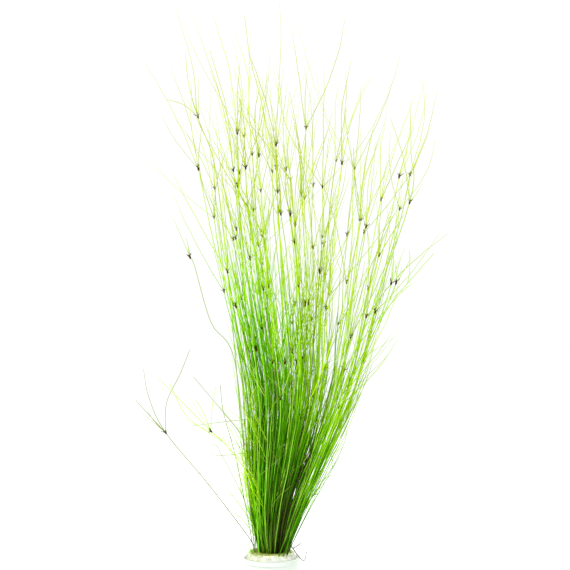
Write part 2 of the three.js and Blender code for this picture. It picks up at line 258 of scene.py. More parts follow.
def sheaf_point(u, v, h):
    """Works for one height or an array of them."""
    t = h / REACH
    opened = h * (1 - SPREAD_SLOWS * t * t)
    crowded = u - CROWD_LEFT * np.minimum(1, h / CROWD_HEIGHT) * (1 - u * u)
    x = FOOT_X + LEAN * smooth_step(h / LEAN_HEIGHT) + (FOOT_RADIUS + SPREAD_X * opened) * crowded
    return np.stack([x, (FOOT_RADIUS + SPREAD_Y * opened) * v, WOOL_TOP + GAP + h], axis=-1)


print("a middle stem at half height is at", sheaf_point(0, 0, REACH / 2).round(), "mm")

# %% [markdown]
# ## Chance that repeats
#
# No two stems are alike, but the plant has to come out the same on every run. A stream of numbers
# that starts from a seed gives both. Each tuft has its own seed, and its stems ask the stream for
# their numbers in a set order. Blender's own random numbers would do as well, but this short stream
# is the one that the solids were drawn with, so the fine stems land on them.

# %% Random numbers that are the same on every run
WORD = 0xFFFFFFFF
STRIDE = 0x6D2B79F5


def random_stream(seed):
    state = seed & WORD

    def draw():
        nonlocal state
        state = (state + STRIDE) & WORD
        word = ((state ^ (state >> 15)) * (state | 1)) & WORD
        word = ((word + (word ^ (word >> 7)) * (word | 61)) & WORD) ^ word
        return (word ^ (word >> 14)) / (WORD + 1)

    return draw


def between(low, high, share):
    return low + (high - low) * share


def either_way(random):
    return 2 * random() - 1


def any_turn(random):
    return 2 * math.pi * random()


def unit(vector):
    return vector / np.linalg.norm(vector, axis=-1, keepdims=True)


trial = random_stream(seed=7100)
print("first numbers:", [round(trial(), 3) for _ in range(3)])

# %% [markdown]
# ## One stem
#
# A stem stands on the edge of its tuft's crown, drifts a little to its own side as it rises, and
# bows. A stem is kept as those few numbers, not as points: the same stem can then be drawn coarsely,
# to see whether it is in another one's way, and finely, for its skin.

# %% A stem as a few numbers
CROWN_HEIGHT = 2
STEM_RING = 1.04
TUFT_DRIFT = 0.14
STEM_DRIFT = 0.07
DRIFT_TURN = 0.9
BOW = 5


def draw_stem(random, base, place, length, ring=STEM_RING, girth=1.0):
    drift = STEM_DRIFT * random()
    heading = place + DRIFT_TURN * either_way(random)
    bow_x = BOW * either_way(random)
    bow_y = BOW * either_way(random)
    return {
        "u": base["u"] + (ring / FOOT_RADIUS) * math.cos(place),
        "v": base["v"] + (ring / FOOT_RADIUS) * math.sin(place),
        "drift_u": base["drift_u"] + drift * math.cos(heading),
        "drift_v": base["drift_v"] + drift * math.sin(heading),
        "bow": np.array([bow_x, bow_y, 0]),
        "length": length,
        "girth": girth,
    }


def stem_line(stem, steps):
    share = np.arange(steps + 1) / steps
    h = between(CROWN_HEIGHT / 4, stem["length"], share)
    risen = h / REACH
    points = sheaf_point(stem["u"] + stem["drift_u"] * risen, stem["v"] + stem["drift_v"] * risen, h)
    return points + stem["bow"] * (4 * share * (1 - share))[:, None]


print("a stem's foot stands", STEM_RING, "mm from the middle of its crown and bows by up to", BOW, "mm")

# %% [markdown]
# ## An umbel
#
# The first shoot of an umbel carries on from the stem, and the others open to all sides, like the
# ribs of an umbrella that was opened by the wind: at uneven angles and to uneven lengths. A shoot is
# three points, its root in the bud, its elbow and its tip. None may pass the top of the plant.

# %% Shoots that leave a bud
BUD_RADIUS = 1.25
BUD_LENGTH = 5
SHOOTS = 3
SHOOT_LENGTHS = (42, 104)
FIRST_OPENINGS = (0, 0.16)
OPENINGS = (0.13, 0.58)
OPENING_BIAS = 1.5
SHOOT_TURN = 0.35
SHOOT_SWAY = 0.14
SHOOT_RISE = 0.08
SHOOT_ROOT = 0.36
ELBOW = 0.55
ELBOW_SWAY = 0.2
LEAST_CLIMB = 0.05
TALL_UMBEL = 200
TALL_PLAIN = 150
NEARLY_ALONG = 0.8


def outward_of(along, turn):
    """A direction square to a line, turned round it by an angle."""
    aside = np.array([0.0, 1, 0]) if abs(along[1]) < NEARLY_ALONG else np.array([0.0, 0, 1])
    side = unit(np.cross(aside, along))
    front = np.cross(side, along)
    return side * math.sin(turn) + front * math.cos(turn)


def tilted(axis, outward, angle):
    """A direction that leans outward from an axis by an angle."""
    return axis * math.cos(angle) + outward * math.sin(angle)


def shoot_line(random, bud, axis, turn, opening):
    outward = outward_of(axis, turn)
    heading = tilted(axis, outward, opening)
    sway = np.array([SHOOT_SWAY * either_way(random), SHOOT_SWAY * either_way(random), SHOOT_RISE])
    room = (PLANT_TOP - bud[2]) / max(LEAST_CLIMB, heading[2] + sway[2])
    length = min(between(*SHOOT_LENGTHS, random()), room)
    return np.array([
        bud + SHOOT_ROOT * BUD_RADIUS * outward,
        bud + ELBOW * length * heading + ELBOW_SWAY * length * sway,
        bud + length * heading + length * sway,
    ])


def umbel(random, stem):
    """A stem with its umbel: its coarse line and its shoots."""
    line = stem_line(stem, 3 if stem["length"] > TALL_UMBEL else 2)
    axis = unit(line[-1] - line[-2])
    twist = any_turn(random)
    lines = []
    for k in range(SHOOTS):
        turn = twist + 2 * math.pi * k / SHOOTS + SHOOT_TURN * either_way(random)
        opening = between(*(OPENINGS if k else FIRST_OPENINGS), random() ** OPENING_BIAS)
        lines.append(shoot_line(random, line[-1], axis, turn, opening))
    return {"stem": stem, "line": line, "shoots": lines}


def plain(stem):
    """A stem that ends in a point."""
    line = stem_line(stem, 2 if stem["length"] > TALL_PLAIN else 1)
    return {"stem": stem, "line": line, "shoots": []}


print("an umbel is up to", round(2 * SHOOT_LENGTHS[1] * math.sin(OPENINGS[1])), "mm wide")

# %% [markdown]
# ## Keeping stems apart
#
# Stems in a crowd bend round each other, and never pass through. To get that without a simulation, a
# stem is measured against all that already stand, as chains of straight pieces. If it comes too
# close it is drawn again with new numbers, and given up after many tries.

# %% A stem as a chain of straight pieces
STEM_RADIUS = 0.5
NECK_RADIUS = 0.38
PLAIN_RADIUS = 0.5
SHOOT_RADIUS = 0.36


def coarse_path(line, bud=None):
    """The points of a line, with its bud put in, and the radius at each, as its solid has them."""
    stem_end = bud or 0
    points = []
    radii = []
    for i, point in enumerate(line):
        if i == bud:
            reach = unit(point - line[i - 1]) * BUD_LENGTH / 2
            points += [point - reach, point, point + reach]
            radii += [NECK_RADIUS, BUD_RADIUS, SHOOT_RADIUS]
        else:
            points.append(point)
            radius = between(STEM_RADIUS, NECK_RADIUS, i / stem_end) if i < stem_end else SHOOT_RADIUS
            radii.append(radius)
    radii[-1] = 0
    return np.array(points), np.array(radii)


def coarse_paths(stem):
    """The paths of a stem and of its shoots, as (points, radii)."""
    line = stem["line"]
    if not stem["shoots"]:
        radii = between(PLAIN_RADIUS, NECK_RADIUS, np.arange(len(line)) / 2)
        radii[-1] = 0
        paths = [(line, radii)]
    else:
        paths = [coarse_path([*line, *stem["shoots"][0][1:]], len(line) - 1)]
        paths += [coarse_path([shoot[0], shoot[2]]) for shoot in stem["shoots"][1:]]
    return [(points, radii * stem["stem"]["girth"]) for points, radii in paths]


def chain_of(paths):
    """Rows of start, end and radius, one for each straight piece of the paths."""
    rows = [
        (*points[i], *points[i + 1], max(radii[i], radii[i + 1]))
        for points, radii in paths
        for i in range(len(points) - 1)
    ]
    return np.array(rows)


print("thickest piece of a chain, at a bud:", 2 * BUD_RADIUS, "mm")

# %% A crowd that new stems keep clear of
CLEARANCE = 0.15
MOST_TRIES = 60
PARALLEL = 1e-9


def is_clear(chain, standing, clearance):
    """Whether every piece of the chain keeps its distance from every piece that stands."""
    one = chain[:, None]
    other = standing[None, :]
    d1 = one[..., 3:6] - one[..., :3]
    d2 = other[..., 3:6] - other[..., :3]
    r = one[..., :3] - other[..., :3]
    a = (d1 * d1).sum(-1)
    b = (d1 * d2).sum(-1)
    c = (d1 * r).sum(-1)
    e = (d2 * d2).sum(-1)
    f = (d2 * r).sum(-1)
    spread = a * e - b * b
    skew = spread > PARALLEL
    s = np.where(skew, np.clip((b * f - c * e) / np.where(skew, spread, 1), 0, 1), 0)
    t = np.clip((b * s + f) / e, 0, 1)
    s = np.clip((b * t - c) / a, 0, 1)
    apart = np.linalg.norm(r + d1 * s[..., None] - d2 * t[..., None], axis=-1)
    return bool((apart > one[..., 6] + other[..., 6] + clearance).all())


class Crowd:
    """The chains of all stems that stand, in one growing table."""

    def __init__(self):
        self.rows = np.zeros((0, 7))

    def add(self, chain):
        self.rows = np.concatenate([self.rows, chain])

    def grow(self, draw, clearance, tries):
        """Draws a stem until it stands clear, and leaves it out if it never does."""
        for _ in range(tries):
            stem = draw()
            if stem is None:
                continue
            chain = chain_of(coarse_paths(stem))
            if is_clear(chain, self.rows, clearance):
                self.add(chain)
                return stem
        return None


crowd = Crowd()
print("clear space between stems:", CLEARANCE, "mm")

# %% [markdown]
# ## Single stems
#
# A few stems have left the sheaf: some have fallen out low down on the left, some make the outline
# at the top and the sides. They are the ones that a viewer knows the plant by, so their points are
# listed one by one, in millimetres, and are the same as their solids'. Each part of a stem is a line
# of points, and one of them can be a bud. The crowd has to keep clear of them, so they go into it first.

# %% Stems that have fallen out on the left
def part(*line, bud=None):
    """One part of a stem: its points, and which of them is a bud."""
    return {"line": np.array(line, float), "bud": bud}


FALLEN_LEFT = {
    "stray_left_low": [
        part(
            (-15, -2.5, 51.5), (-18, -6, 62), (-55, -15, 113), (-93, -22, 160.5),
            (-107.5, -25, 192), (-112, -26, 216.5), bud=3,
        ),
        part((-93, -22, 160.5), (-111, -19, 179), (-120, -16, 188.5)),
        part((-93, -22, 160.5), (-92, -21, 187), (-80.5, -19, 211.5), (-72, -17, 233)),
    ],
    "stray_left_front": [
        part(
            (-10.5, -13, 51.5), (-13.5, -17, 93), (-21.5, -18, 124.5), (-42, -20, 151.5),
            (-53, -21, 161.5), (-85, -27, 195), (-100, -29, 210), bud=4,
        ),
        part((-53, -21, 161.5), (-59, -18, 176), (-67, -15, 189.5)),
        part((-53, -21, 161.5), (-51.5, -25, 183.5), (-48.5, -27, 201)),
        part((-42, -20, 151.5), (-59, -29, 164), (-74.5, -34, 177.5), (-88, -37, 204.5)),
    ],
    "stray_left_back": [
        part((-12, 12, 51.5), (-19.5, 20, 121), (-26.5, 21, 150.5), (-44, 22, 174), (-71.5, 24, 206.5)),
    ],
    "stray_left_forked": [
        part(
            (-15, 2, 51.5), (-19, 2, 69.5), (-24, 2, 97.5), (-33, 4, 139.5), (-43, 5, 175.5),
            (-46, 5, 200.5),
        ),
        part((-24, 2, 97.5), (-36, -2, 122.5), (-43, -3, 135.5), (-49, -4, 146.5), (-55.5, -5, 148.5)),
    ],
    "stray_left_folded": [
        part(
            (-13.5, 7, 51.5), (-18.5, 13, 108), (-20.5, 15, 138), (-21.5, 16, 164.5),
            (-26.5, 17, 167.5), (-71.5, 20, 162),
        ),
        part((-20.5, 15, 138), (-45, 17, 135), (-59, 18, 136.5)),
    ],
}
print("fallen stems on the left:", len(FALLEN_LEFT))

# %% Stems that make the outline
OUTLINE_STEMS = {
    "tall_left_stem": [
        part(
            (-14, -5.5, 51.5), (-20.5, -13, 112), (-32, -21, 224), (-52.5, -25, 257.5),
            (-67, -28, 307.5), (-71, -29, 315.5), (-73, -29, 328), bud=5,
        ),
    ],
    "tall_left_umbel": [
        part(
            (-8, 17, 51.5), (-14.5, 24, 147), (-25, 27, 290), (-35, 27, 396.5), (-46, 26, 460.5),
            (-59.5, 25, 501.5), (-71.5, 24, 536), bud=3,
        ),
        part((-35, 27, 396.5), (-41, 23, 451), (-48, 20, 478), (-56, 18, 505)),
    ],
    "left_edge_umbel": [
        part(
            (-14.5, 4.5, 51.5), (-25.5, 9, 149), (-40.5, 14, 310), (-52, 17, 401.5),
            (-67, 18, 444.5), (-71.5, 19, 488), (-87, 22, 543.5), bud=4,
        ),
        part((-67, 18, 444.5), (-80, 15, 455), (-95, 12, 459.5)),
        part((-67, 18, 444.5), (-75.5, 22, 473.5), (-79, 25, 504.5)),
    ],
    "tallest_stem": [
        part(
            (4, 18.8, 51.5), (9, 22, 157.5), (10, 18, 280), (4.5, 14, 397), (6, 12, 451.5),
            (9, 11, 515), (7.6, 11, 547), bud=3,
        ),
        part((4.5, 14, 397), (-10, 10, 461.5), (-19, 8, 496.5), (-24, 7, 534.5)),
    ],
    "tall_right_stem": [
        part(
            (11.5, -17.4, 51.5), (29.5, -24, 101), (76.5, -31, 236.5), (121.5, -36, 363),
            (122.5, -37, 406.5), (121.5, -38, 451.5), bud=3,
        ),
        part((121.5, -36, 363), (116, -33, 402), (105.5, -31, 436)),
    ],
    "leaning_right_stem": [
        part(
            (7.5, -19, 51.5), (32, -31, 120), (70, -37, 205), (92, -40, 254), (105, -41, 292.5),
            (107, -42, 323), (110, -42, 356), (114, -42, 382), bud=4,
        ),
        part((92, -40, 254), (101, -43, 272), (109, -44, 293), (107.5, -46, 312), bud=2),
        part((92, -40, 254), (106, -45, 277), (118.5, -47, 292), (141, -49, 318)),
        part((118.5, -47, 292), (120.5, -46, 303), (120.5, -45, 321)),
    ],
}
print("stems of the outline:", len(OUTLINE_STEMS))

# %% Short stems and sprouts, and all of them together
SHORT_STEMS = {
    "stray_right_low": [
        part(
            (15, -15, 51.5), (24, -20, 78.5), (34.5, -22, 100.5), (54, -25, 129.5), (65, -26, 152),
            (67, -26, 163),
        ),
        part((54, -25, 129.5), (54, -27, 137.5), (52, -28, 144.5)),
    ],
    "stray_over_rim": [
        part(
            (14.5, -12.5, 51.5), (16.5, -13, 58), (17.5, -13.5, 59), (19.5, -14, 56.5),
            (24, -15, 50.5), (29.5, -16, 46), (32, -16, 54),
        ),
        part((19.5, -14, 56.5), (23, -14.5, 58.5), (27, -15, 61.5)),
    ],
    "young_sprouts": [
        part((-17.5, -10, 51.5), (-18.5, -10, 55), (-20.5, -10, 60)),
        part((-17.5, -10, 51.8), (-17.5, -10.5, 55), (-18, -11, 62)),
        part((-17.5, -10, 51.8), (-16.5, -10, 54), (-15, -10, 59)),
    ],
}
SINGLE_STEMS = {**FALLEN_LEFT, **OUTLINE_STEMS, **SHORT_STEMS}

for parts in SINGLE_STEMS.values():
    crowd.add(chain_of([coarse_path(**each) for each in parts]))
print("single stems:", len(SINGLE_STEMS), "pieces in the crowd:", len(crowd.rows))

# %% [markdown]
# ## The tufts that have solids
#
# The crowns of the tufts stand like the seeds of a sunflower: each one turned by the golden angle
# from the last and a little further out, which fills a circle evenly with no rows. A tuft draws two
# umbels and three plain stems, and one that finds no room is given up. The heights of the umbels
# step by the golden share, so that the brown buds are spread evenly over the height of the sheaf.
# One tuft on the right is dead and short.

# %% Grow the tufts
TUFTS = 34
DEAD_TUFT = 31
TUFT_RING = 0.88
GOLDEN_ANGLE = math.pi * (3 - math.sqrt(5))
GOLDEN_SHARE = (math.sqrt(5) - 1) / 2
UMBELS = 2
PLAIN_STEMS = 3
UMBEL_HEIGHTS = (110, 382)
PLAIN_LENGTHS = (75, 262)
DEAD_LENGTHS = (72, 114)
FIRST_SEED = 7100
RIGHT_DRIFT = 0.36
RIGHT_EDGE = 0.35


def tuft_name(index):
    return "dead_tuft" if index == DEAD_TUFT else f"tuft_{index + 1:02d}"


def grow_tuft(index):
    """The crown's place and the stems of one tuft."""
    random = random_stream(FIRST_SEED + index)
    ring = TUFT_RING * math.sqrt((index + 0.5) / TUFTS)
    base = {"u": ring * math.cos(index * GOLDEN_ANGLE), "v": ring * math.sin(index * GOLDEN_ANGLE)}
    to_right = RIGHT_DRIFT * smooth_step(base["u"] / RIGHT_EDGE - 1)
    base["drift_u"] = TUFT_DRIFT * either_way(random) + to_right
    base["drift_v"] = TUFT_DRIFT * either_way(random)
    is_dead = index == DEAD_TUFT
    lengths = DEAD_LENGTHS if is_dead else PLAIN_LENGTHS
    first_place = any_turn(random)
    count = UMBELS + PLAIN_STEMS
    stems = []
    for k in range(count):
        # The next stem stands two places on, so that the two umbels don't start side by side.
        place = first_place + 4 * math.pi * k / count
        rank = ((index * UMBELS + k + 1) * GOLDEN_SHARE) % 1
        share = random()

        def draw():
            if k < UMBELS and not is_dead:
                return umbel(random, draw_stem(random, base, place, between(*UMBEL_HEIGHTS, rank)))
            return plain(draw_stem(random, base, place, between(*lengths, share)))

        stems.append(crowd.grow(draw, CLEARANCE, MOST_TRIES))
    return base, [stem for stem in stems if stem is not None]


tufts = [grow_tuft(index) for index in range(TUFTS)]


def farthest_tip(index):
    """How far the worst stem tip of a tuft is from its solid's nearest corner, in millimetres."""
    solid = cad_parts[tuft_name(index)]
    corners = np.array([v.co for v in solid.data.vertices]) / MM
    tips = [points[-1] for stem in tufts[index][1] for points, _ in coarse_paths(stem)]
    return max(np.linalg.norm(corners - tip, axis=1).min() for tip in tips)


print("stems with solids:", sum(len(stems) for _, stems in tufts))
print("worst distance from a tip to its solid:", round(max(map(farthest_tip, range(TUFTS))), 4), "mm")

# %% [markdown]
# ## The hair-thin stems
#
# The sheaf has about five hundred stems here, and only three in ten of them have a solid. The others
# are added here: thinner, and a few with umbels of their own. They come out of the wool beside the
# crowns, where there is room between one crown and the next, and they part from their tuft more
# than its own stems do. Most of the plain ones stay below two fifths of the plant's height, where
# they make its dense green core. A few on the left grow to between half and seven tenths of it,
# because the real sheaf is thick there and airy on its right. They are kept apart as the others are,
# but with no air to spare, because in a real sheaf the stems touch.

# %% A thin stem beside a crown
THIN_GIRTH = 0.8
THIN_RINGS = (1.4, 3.4)
THIN_DRIFT = 3.0
FOOT_EDGE = 0.98
ROOM_LOW = np.array(CAD_LOW) / MM
ROOM_HIGH = np.array(CAD_HIGH) / MM + GAP


def is_in_room(lines):
    """Whether no point of the lines is outside the solids' box."""
    return all((line > ROOM_LOW).all() and (line < ROOM_HIGH).all() for line in lines)


def draw_thin(random, base, length):
    """A thin stem beside a crown. Its own drift is larger, so that it weaves through the others."""
    while True:
        place = any_turn(random)
        ring = between(*THIN_RINGS, random())
        stem = draw_stem(random, base, place, length, ring, THIN_GIRTH)
        own_u = THIN_DRIFT * (stem["drift_u"] - base["drift_u"])
        own_v = THIN_DRIFT * (stem["drift_v"] - base["drift_v"])
        risen = length / REACH
        foot_out = math.hypot(stem["u"], stem["v"])
        tip_out = math.hypot(stem["u"] + own_u * risen, stem["v"] + own_v * risen)
        if max(foot_out, tip_out) < FOOT_EDGE:
            return {**stem, "drift_u": base["drift_u"] + own_u, "drift_v": base["drift_v"] + own_v}


print("thin stems start", THIN_RINGS, "mm from the middle of a crown")

# %% Grow the thin stems
THIN_SEED = 1000
THIN_UMBELS = 2
THIN_PLAIN = 15
THIN_CLEARANCE = -0.08
THIN_TRIES = 40
THIN_LENGTHS = (90, 335)
RIGHT_LENGTHS = (90, 300)
LEFT_LENGTHS = (245, 350)
CORE_LENGTHS = (105, 200)
THIN_UMBEL_HEIGHTS = (125, 350)
LONG_EVERY = 3
LEFT_EVERY = 5
LEFT_SIDE = 0.12
DEAD_THIN = 3
DEAD_THIN_LENGTHS = (70, 105)


def grow_thin(index):
    random = random_stream(THIN_SEED + index)
    base = tufts[index][0]
    is_dead = index == DEAD_TUFT
    is_left = base["u"] < LEFT_SIDE
    umbels = 0 if is_dead else THIN_UMBELS
    stems = []
    for k in range(DEAD_THIN if is_dead else umbels + THIN_PLAIN):
        rank = random()
        if is_dead:
            lengths = DEAD_THIN_LENGTHS
        elif k % LONG_EVERY == 0:
            lengths = THIN_LENGTHS if is_left else RIGHT_LENGTHS
        elif is_left and k % LEFT_EVERY == 1:
            lengths = LEFT_LENGTHS
        else:
            lengths = CORE_LENGTHS

        def draw():
            if k < umbels:
                stem = umbel(random, draw_thin(random, base, between(*THIN_UMBEL_HEIGHTS, rank)))
            else:
                # A try keeps two thirds of the stem's rank and draws the rest again.
                length = between(*lengths, (2 * rank + random()) / 3)
                stem = plain(draw_thin(random, base, length))
            return stem if is_in_room([stem["line"], *stem["shoots"]]) else None

        stems.append(crowd.grow(draw, THIN_CLEARANCE, THIN_TRIES))
    return [stem for stem in stems if stem is not None]


thin_stems = [grow_thin(index) for index in range(TUFTS)]
print("thin stems:", sum(map(len, thin_stems)))

# %% [markdown]
# ## Stems that lean out
#
# The edge of the sheaf is not clean. From the outer tufts a few short stems lean outwards, and give
# the outline its loose hairs. They use the same rule, with a strong drift away from the middle.

# %% Grow the stems that lean out
OUTER_RING = 0.5
LEANING_SEED = 2000
LEANING_STEMS = 3
LEANS = (0.5, 2.1)
LEANING_LENGTHS = (55, 190)


def grow_leaning(index):
    random = random_stream(LEANING_SEED + index)
    base = tufts[index][0]
    ring = math.hypot(base["u"], base["v"])
    if ring < OUTER_RING or index == DEAD_TUFT:
        return []

    def draw():
        stem = draw_thin(random, base, between(*LEANING_LENGTHS, random()))
        lean = between(*LEANS, random() ** 2)
        stem["drift_u"] += lean * base["u"] / ring
        stem["drift_v"] += lean * base["v"] / ring
        stem = plain(stem)
        return stem if is_in_room([stem["line"]]) else None

    grown = [crowd.grow(draw, THIN_CLEARANCE, THIN_TRIES) for _ in range(LEANING_STEMS)]
    return [stem for stem in grown if stem is not None]


leaning_stems = [grow_leaning(index) for index in range(TUFTS)]
tuft_stems = [tufts[index][1] + thin_stems[index] + leaning_stems[index] for index in range(TUFTS)]
all_stems = [stem for stems in tuft_stems for stem in stems]
print("leaning stems:", sum(map(len, leaning_stems)))
print("stems in all:", len(all_stems) + len(SINGLE_STEMS))
print("umbels:", sum(bool(stem["shoots"]) for stem in all_stems))

# %% [markdown]
# ## Skins
#
# A stem's skin is a tube: rings of points round its line, joined by four-sided faces. Blender's
# curves can do this with a bevel, but their points carry no numbers that a finish can read. A mesh
# built from arrays of rings does: each stem has its own tone and age, and a whole tuft is one mesh.
# Every tube also gets its own strip of the surface map. The rings are joined in a helper of their
# own, because the pot and the wool need the same.

# %% A closed tube round a line
CAP_SHARE = 0.02


def closed_skin(rings, foot, tip, levels):
    """Points, faces and map corners of rings joined to one another and to a point at each end.

    The levels are heights on the map: of the foot, of each ring and of the tip.
    """
    rows, sides = rings.shape[:2]
    points = np.concatenate([rings.reshape(-1, 3), [foot, tip]])
    last = (rows - 1) * sides
    start, end = len(points) - 2, len(points) - 1
    faces = []
    corners = []
    for i in range(rows - 1):
        low, high = levels[i + 1], levels[i + 2]
        for j in range(sides):
            k = (j + 1) % sides
            faces.append((i * sides + j, i * sides + k, (i + 1) * sides + k, (i + 1) * sides + j))
            left, right = j / sides, (j + 1) / sides
            corners += [(left, low), (right, low), (right, high), (left, high)]
    for j in range(sides):
        k = (j + 1) % sides
        left, middle, right = j / sides, (j + 0.5) / sides, (j + 1) / sides
        faces += [(start, k, j), (last + j, last + k, end)]
        corners += [(middle, levels[0]), (right, levels[1]), (left, levels[1])]
        corners += [(left, levels[-2]), (right, levels[-2]), (middle, levels[-1])]
    return points, faces, corners


def tube(line, radii, sides):
    """The skin of a tube round a line, closed at both ends."""
    along = unit(np.gradient(line, axis=0))
    aside = np.eye(3)[np.abs(line[-1] - line[0]).argmin()]
    side = unit(np.cross(aside, along))
    front = np.cross(along, side)
    turn = 2 * np.pi * np.arange(sides) / sides
    ring = np.cos(turn)[:, None] * side[:, None] + np.sin(turn)[:, None] * front[:, None]
    rings = line[:, None] + np.asarray(radii)[:, None, None] * ring
    tip = line[-1] + along[-1] * radii[-1]
    levels = CAP_SHARE + (1 - 2 * CAP_SHARE) * np.arange(len(line)) / (len(line) - 1)
    return closed_skin(rings, line[0], tip, [0, *levels, 1])


trial_points, trial_faces, _ = tube(np.array([(0, 0, 0), (0, 0, 1), (0, 0.1, 2.0)]), [0.2, 0.2, 0.1], 6)
print("a short tube has", len(trial_points), "points and", len(trial_faces), "faces")

# %% [markdown]
# ## Collecting skins into a piece
#
# `Growth` gathers tubes, buds and crowns. Each skin comes with facts that hold for all its points:
# its tone (dark or light), its age (green or withered), its youth (stem or fresh shoot), how much
# painted side light it gets, most near the edge of the sheaf (outer), and how much painted light it
# gets on the airy right and painted shade on the dense left (airy). One more fact differs from point
# to point: the place along a tube, from foot to tip. They are stored on the points, and the finishes
# read them by name. At the end one mesh is made, in metres.

# %% A piece that grows skin by skin
FACTS = ("tone", "age", "youth", "outer", "airy", "along")
STRIP_EDGE = 0.06
pieces_made = []


class Growth:
    def __init__(self):
        self.points = []
        self.faces = []
        self.corners = []
        self.strips = []
        self.finishes = []
        self.facts = {kind: [] for kind in FACTS}
        self.count = 0

    def add(self, skin, finish_number=0, **facts):
        """Adds a skin. A fact is one number for all its points, or a number for each."""
        points, faces, corners = skin
        self.strips += [len(self.points)] * len(corners)
        self.points.append(points)
        self.faces += [tuple(self.count + i for i in face) for face in faces]
        self.corners += corners
        self.finishes += [finish_number] * len(faces)
        for kind in FACTS:
            self.facts[kind].append(np.full(len(points), facts.get(kind, 0.0)))
        self.count += len(points)

    def add_tube(self, line, radii, sides, finish_number=0, **facts):
        share = np.arange(len(line)) / (len(line) - 1)
        along = np.concatenate([np.repeat(share, sides), [0, 1]])
        self.add(tube(line, radii, sides), finish_number, along=along, **facts)

    def make(self, name, materials):
        mesh = bpy.data.meshes.new(name)
        mesh.from_pydata((np.concatenate(self.points) * MM).tolist(), [], self.faces)
        for material in materials:
            mesh.materials.append(material)
        mesh.polygons.foreach_set("material_index", self.finishes)
        mesh.polygons.foreach_set("use_smooth", [True] * len(mesh.polygons))
        for kind in FACTS:
            values = np.concatenate(self.facts[kind]).astype(np.float32)
            mesh.attributes.new(kind, "FLOAT", "POINT").data.foreach_set("value", values)
        corners = np.array(self.corners)
        strips = np.array(self.strips)
        across = (strips + STRIP_EDGE + (1 - 2 * STRIP_EDGE) * corners[:, 0]) / (strips.max() + 1)
        layer = mesh.uv_layers.new(name="OFBake")
        layer.data.foreach_set("uv", np.stack([across, corners[:, 1]], -1).astype(np.float32).ravel())
        mesh.validate()
        piece = bpy.data.objects.new(name, mesh)
        bpy.context.scene.collection.objects.link(piece)
        pieces_made.append(piece)
        return piece


print("facts on every point:", FACTS)

# %% [markdown]
# ## Stems, shoots and crowns
#
# A stem is not quite straight: a long one wanders by about a millimetre on its way up, and a short
# one by less. It is a little thinner at its foot. A plain one thins out to a point again, and one
# with an umbel keeps its thickness up to the bud. A young shoot bows to one side, starts thin and
# ends as fine as a hair. A crown is the low brown mound where the stems of a tuft meet.

# %% Lines that are not quite straight
WANDER = 0.7
WANDER_LENGTH = 250
WAVES = (2.0, 9.0)


def wander(line, look):
    """A line that strays by a little, but not at its root."""
    share = np.linspace(0, 1, len(line))
    depth = WANDER * min(1, np.linalg.norm(line[-1] - line[0]) / WANDER_LENGTH)
    stray = np.zeros_like(line)
    for axis in (0, 1):
        waves = between(*WAVES, look())
        start = any_turn(look)
        stray[:, axis] = np.sin(waves * share * math.pi + start) - math.sin(start)
    return line + stray * depth * np.minimum(1, 4 * share)[:, None]


def smooth_line(points, steps_each):
    """A smooth line through some points: it leaves each one the way its neighbours lie."""
    points = np.asarray(points, float)
    padded = np.array([2 * points[0] - points[1], *points, 2 * points[-1] - points[-2]])
    t = np.linspace(0, 1, steps_each, endpoint=False)[:, None]
    parts = []
    for a, b, c, d in zip(padded, padded[1:], padded[2:], padded[3:]):
        curve = 2 * b + (c - a) * t + (2 * a - 5 * b + 4 * c - d) * t**2 + (3 * b - a - 3 * c + d) * t**3
        parts.append(0.5 * curve)
    return np.concatenate([*parts, points[-1:]])


bent = smooth_line([(0, 0, 0), (0, 0, 1), (0, 1, 2)], 5)
print("a smooth line through three points has", len(bent), "points")

# %% Skins of stems, shoots and crowns
STEM_SIDES = 6
SHOOT_SIDES = 5
SHOOT_STEPS = 5
RING_EVERY = 15
DRAW_BACK = 0.8
TIP_RADIUS = 0.12
STEM_SKIN = 0.44
SHOOT_SKIN = 0.36
FOOT_PROFILE = ([0, 0.4], [0.8, 1])
PLAIN_PROFILE = ([0.3, 0.6, 0.92, 1], [STEM_SKIN, 0.9 * STEM_SKIN, 0.6 * STEM_SKIN, TIP_RADIUS])
SHOOT_PROFILE = ([0, 0.7, 1], [SHOOT_SKIN, 0.8 * SHOOT_SKIN, TIP_RADIUS])
SHOOT_BOW = 0.06
CROWN_HEIGHTS = [0, 0.6, 1.3, 1.8, CROWN_HEIGHT]
CROWN_RADII = 1.7 * np.array([1, 0.98, 0.86, 0.6, 0.3])
CROWN_SIDES = 14
UP = np.array([0, 0, 1.0])


def stem_radii(count, has_umbel, girth):
    share = np.linspace(0, 1, count)
    foot = np.interp(share, *FOOT_PROFILE)
    if has_umbel:
        return girth * STEM_SKIN * foot
    return girth * foot * np.interp(share, *PLAIN_PROFILE)


def scaled(points, share):
    """Some points drawn out from the first of them, or back to it."""
    return points[0] + (points - points[0]) * share


def in_room(points):
    """A shoot drawn back to its root until it is inside the solids' box."""
    while not is_in_room([points]):
        points = scaled(points, DRAW_BACK)
    return points


def add_shoot(growth, points, girth, look, **facts):
    line = wander(smooth_line(in_room(points), SHOOT_STEPS), look)
    share = np.linspace(0, 1, len(line))
    aside = np.array([either_way(look), either_way(look), 0])
    bow = SHOOT_BOW * np.linalg.norm(line[-1] - line[0]) * aside
    line += bow * np.sin(np.pi * share)[:, None]
    radii = girth * np.interp(share, *SHOOT_PROFILE)
    growth.add_tube(line, radii, SHOOT_SIDES, youth=1, **facts)


def add_crown(growth, base, **facts):
    line = sheaf_point(base["u"], base["v"], 0) + np.outer(CROWN_HEIGHTS, UP)
    growth.add_tube(line, CROWN_RADII, CROWN_SIDES, **facts)


print("rings on the tallest stem:", round(UMBEL_HEIGHTS[1] / RING_EVERY))

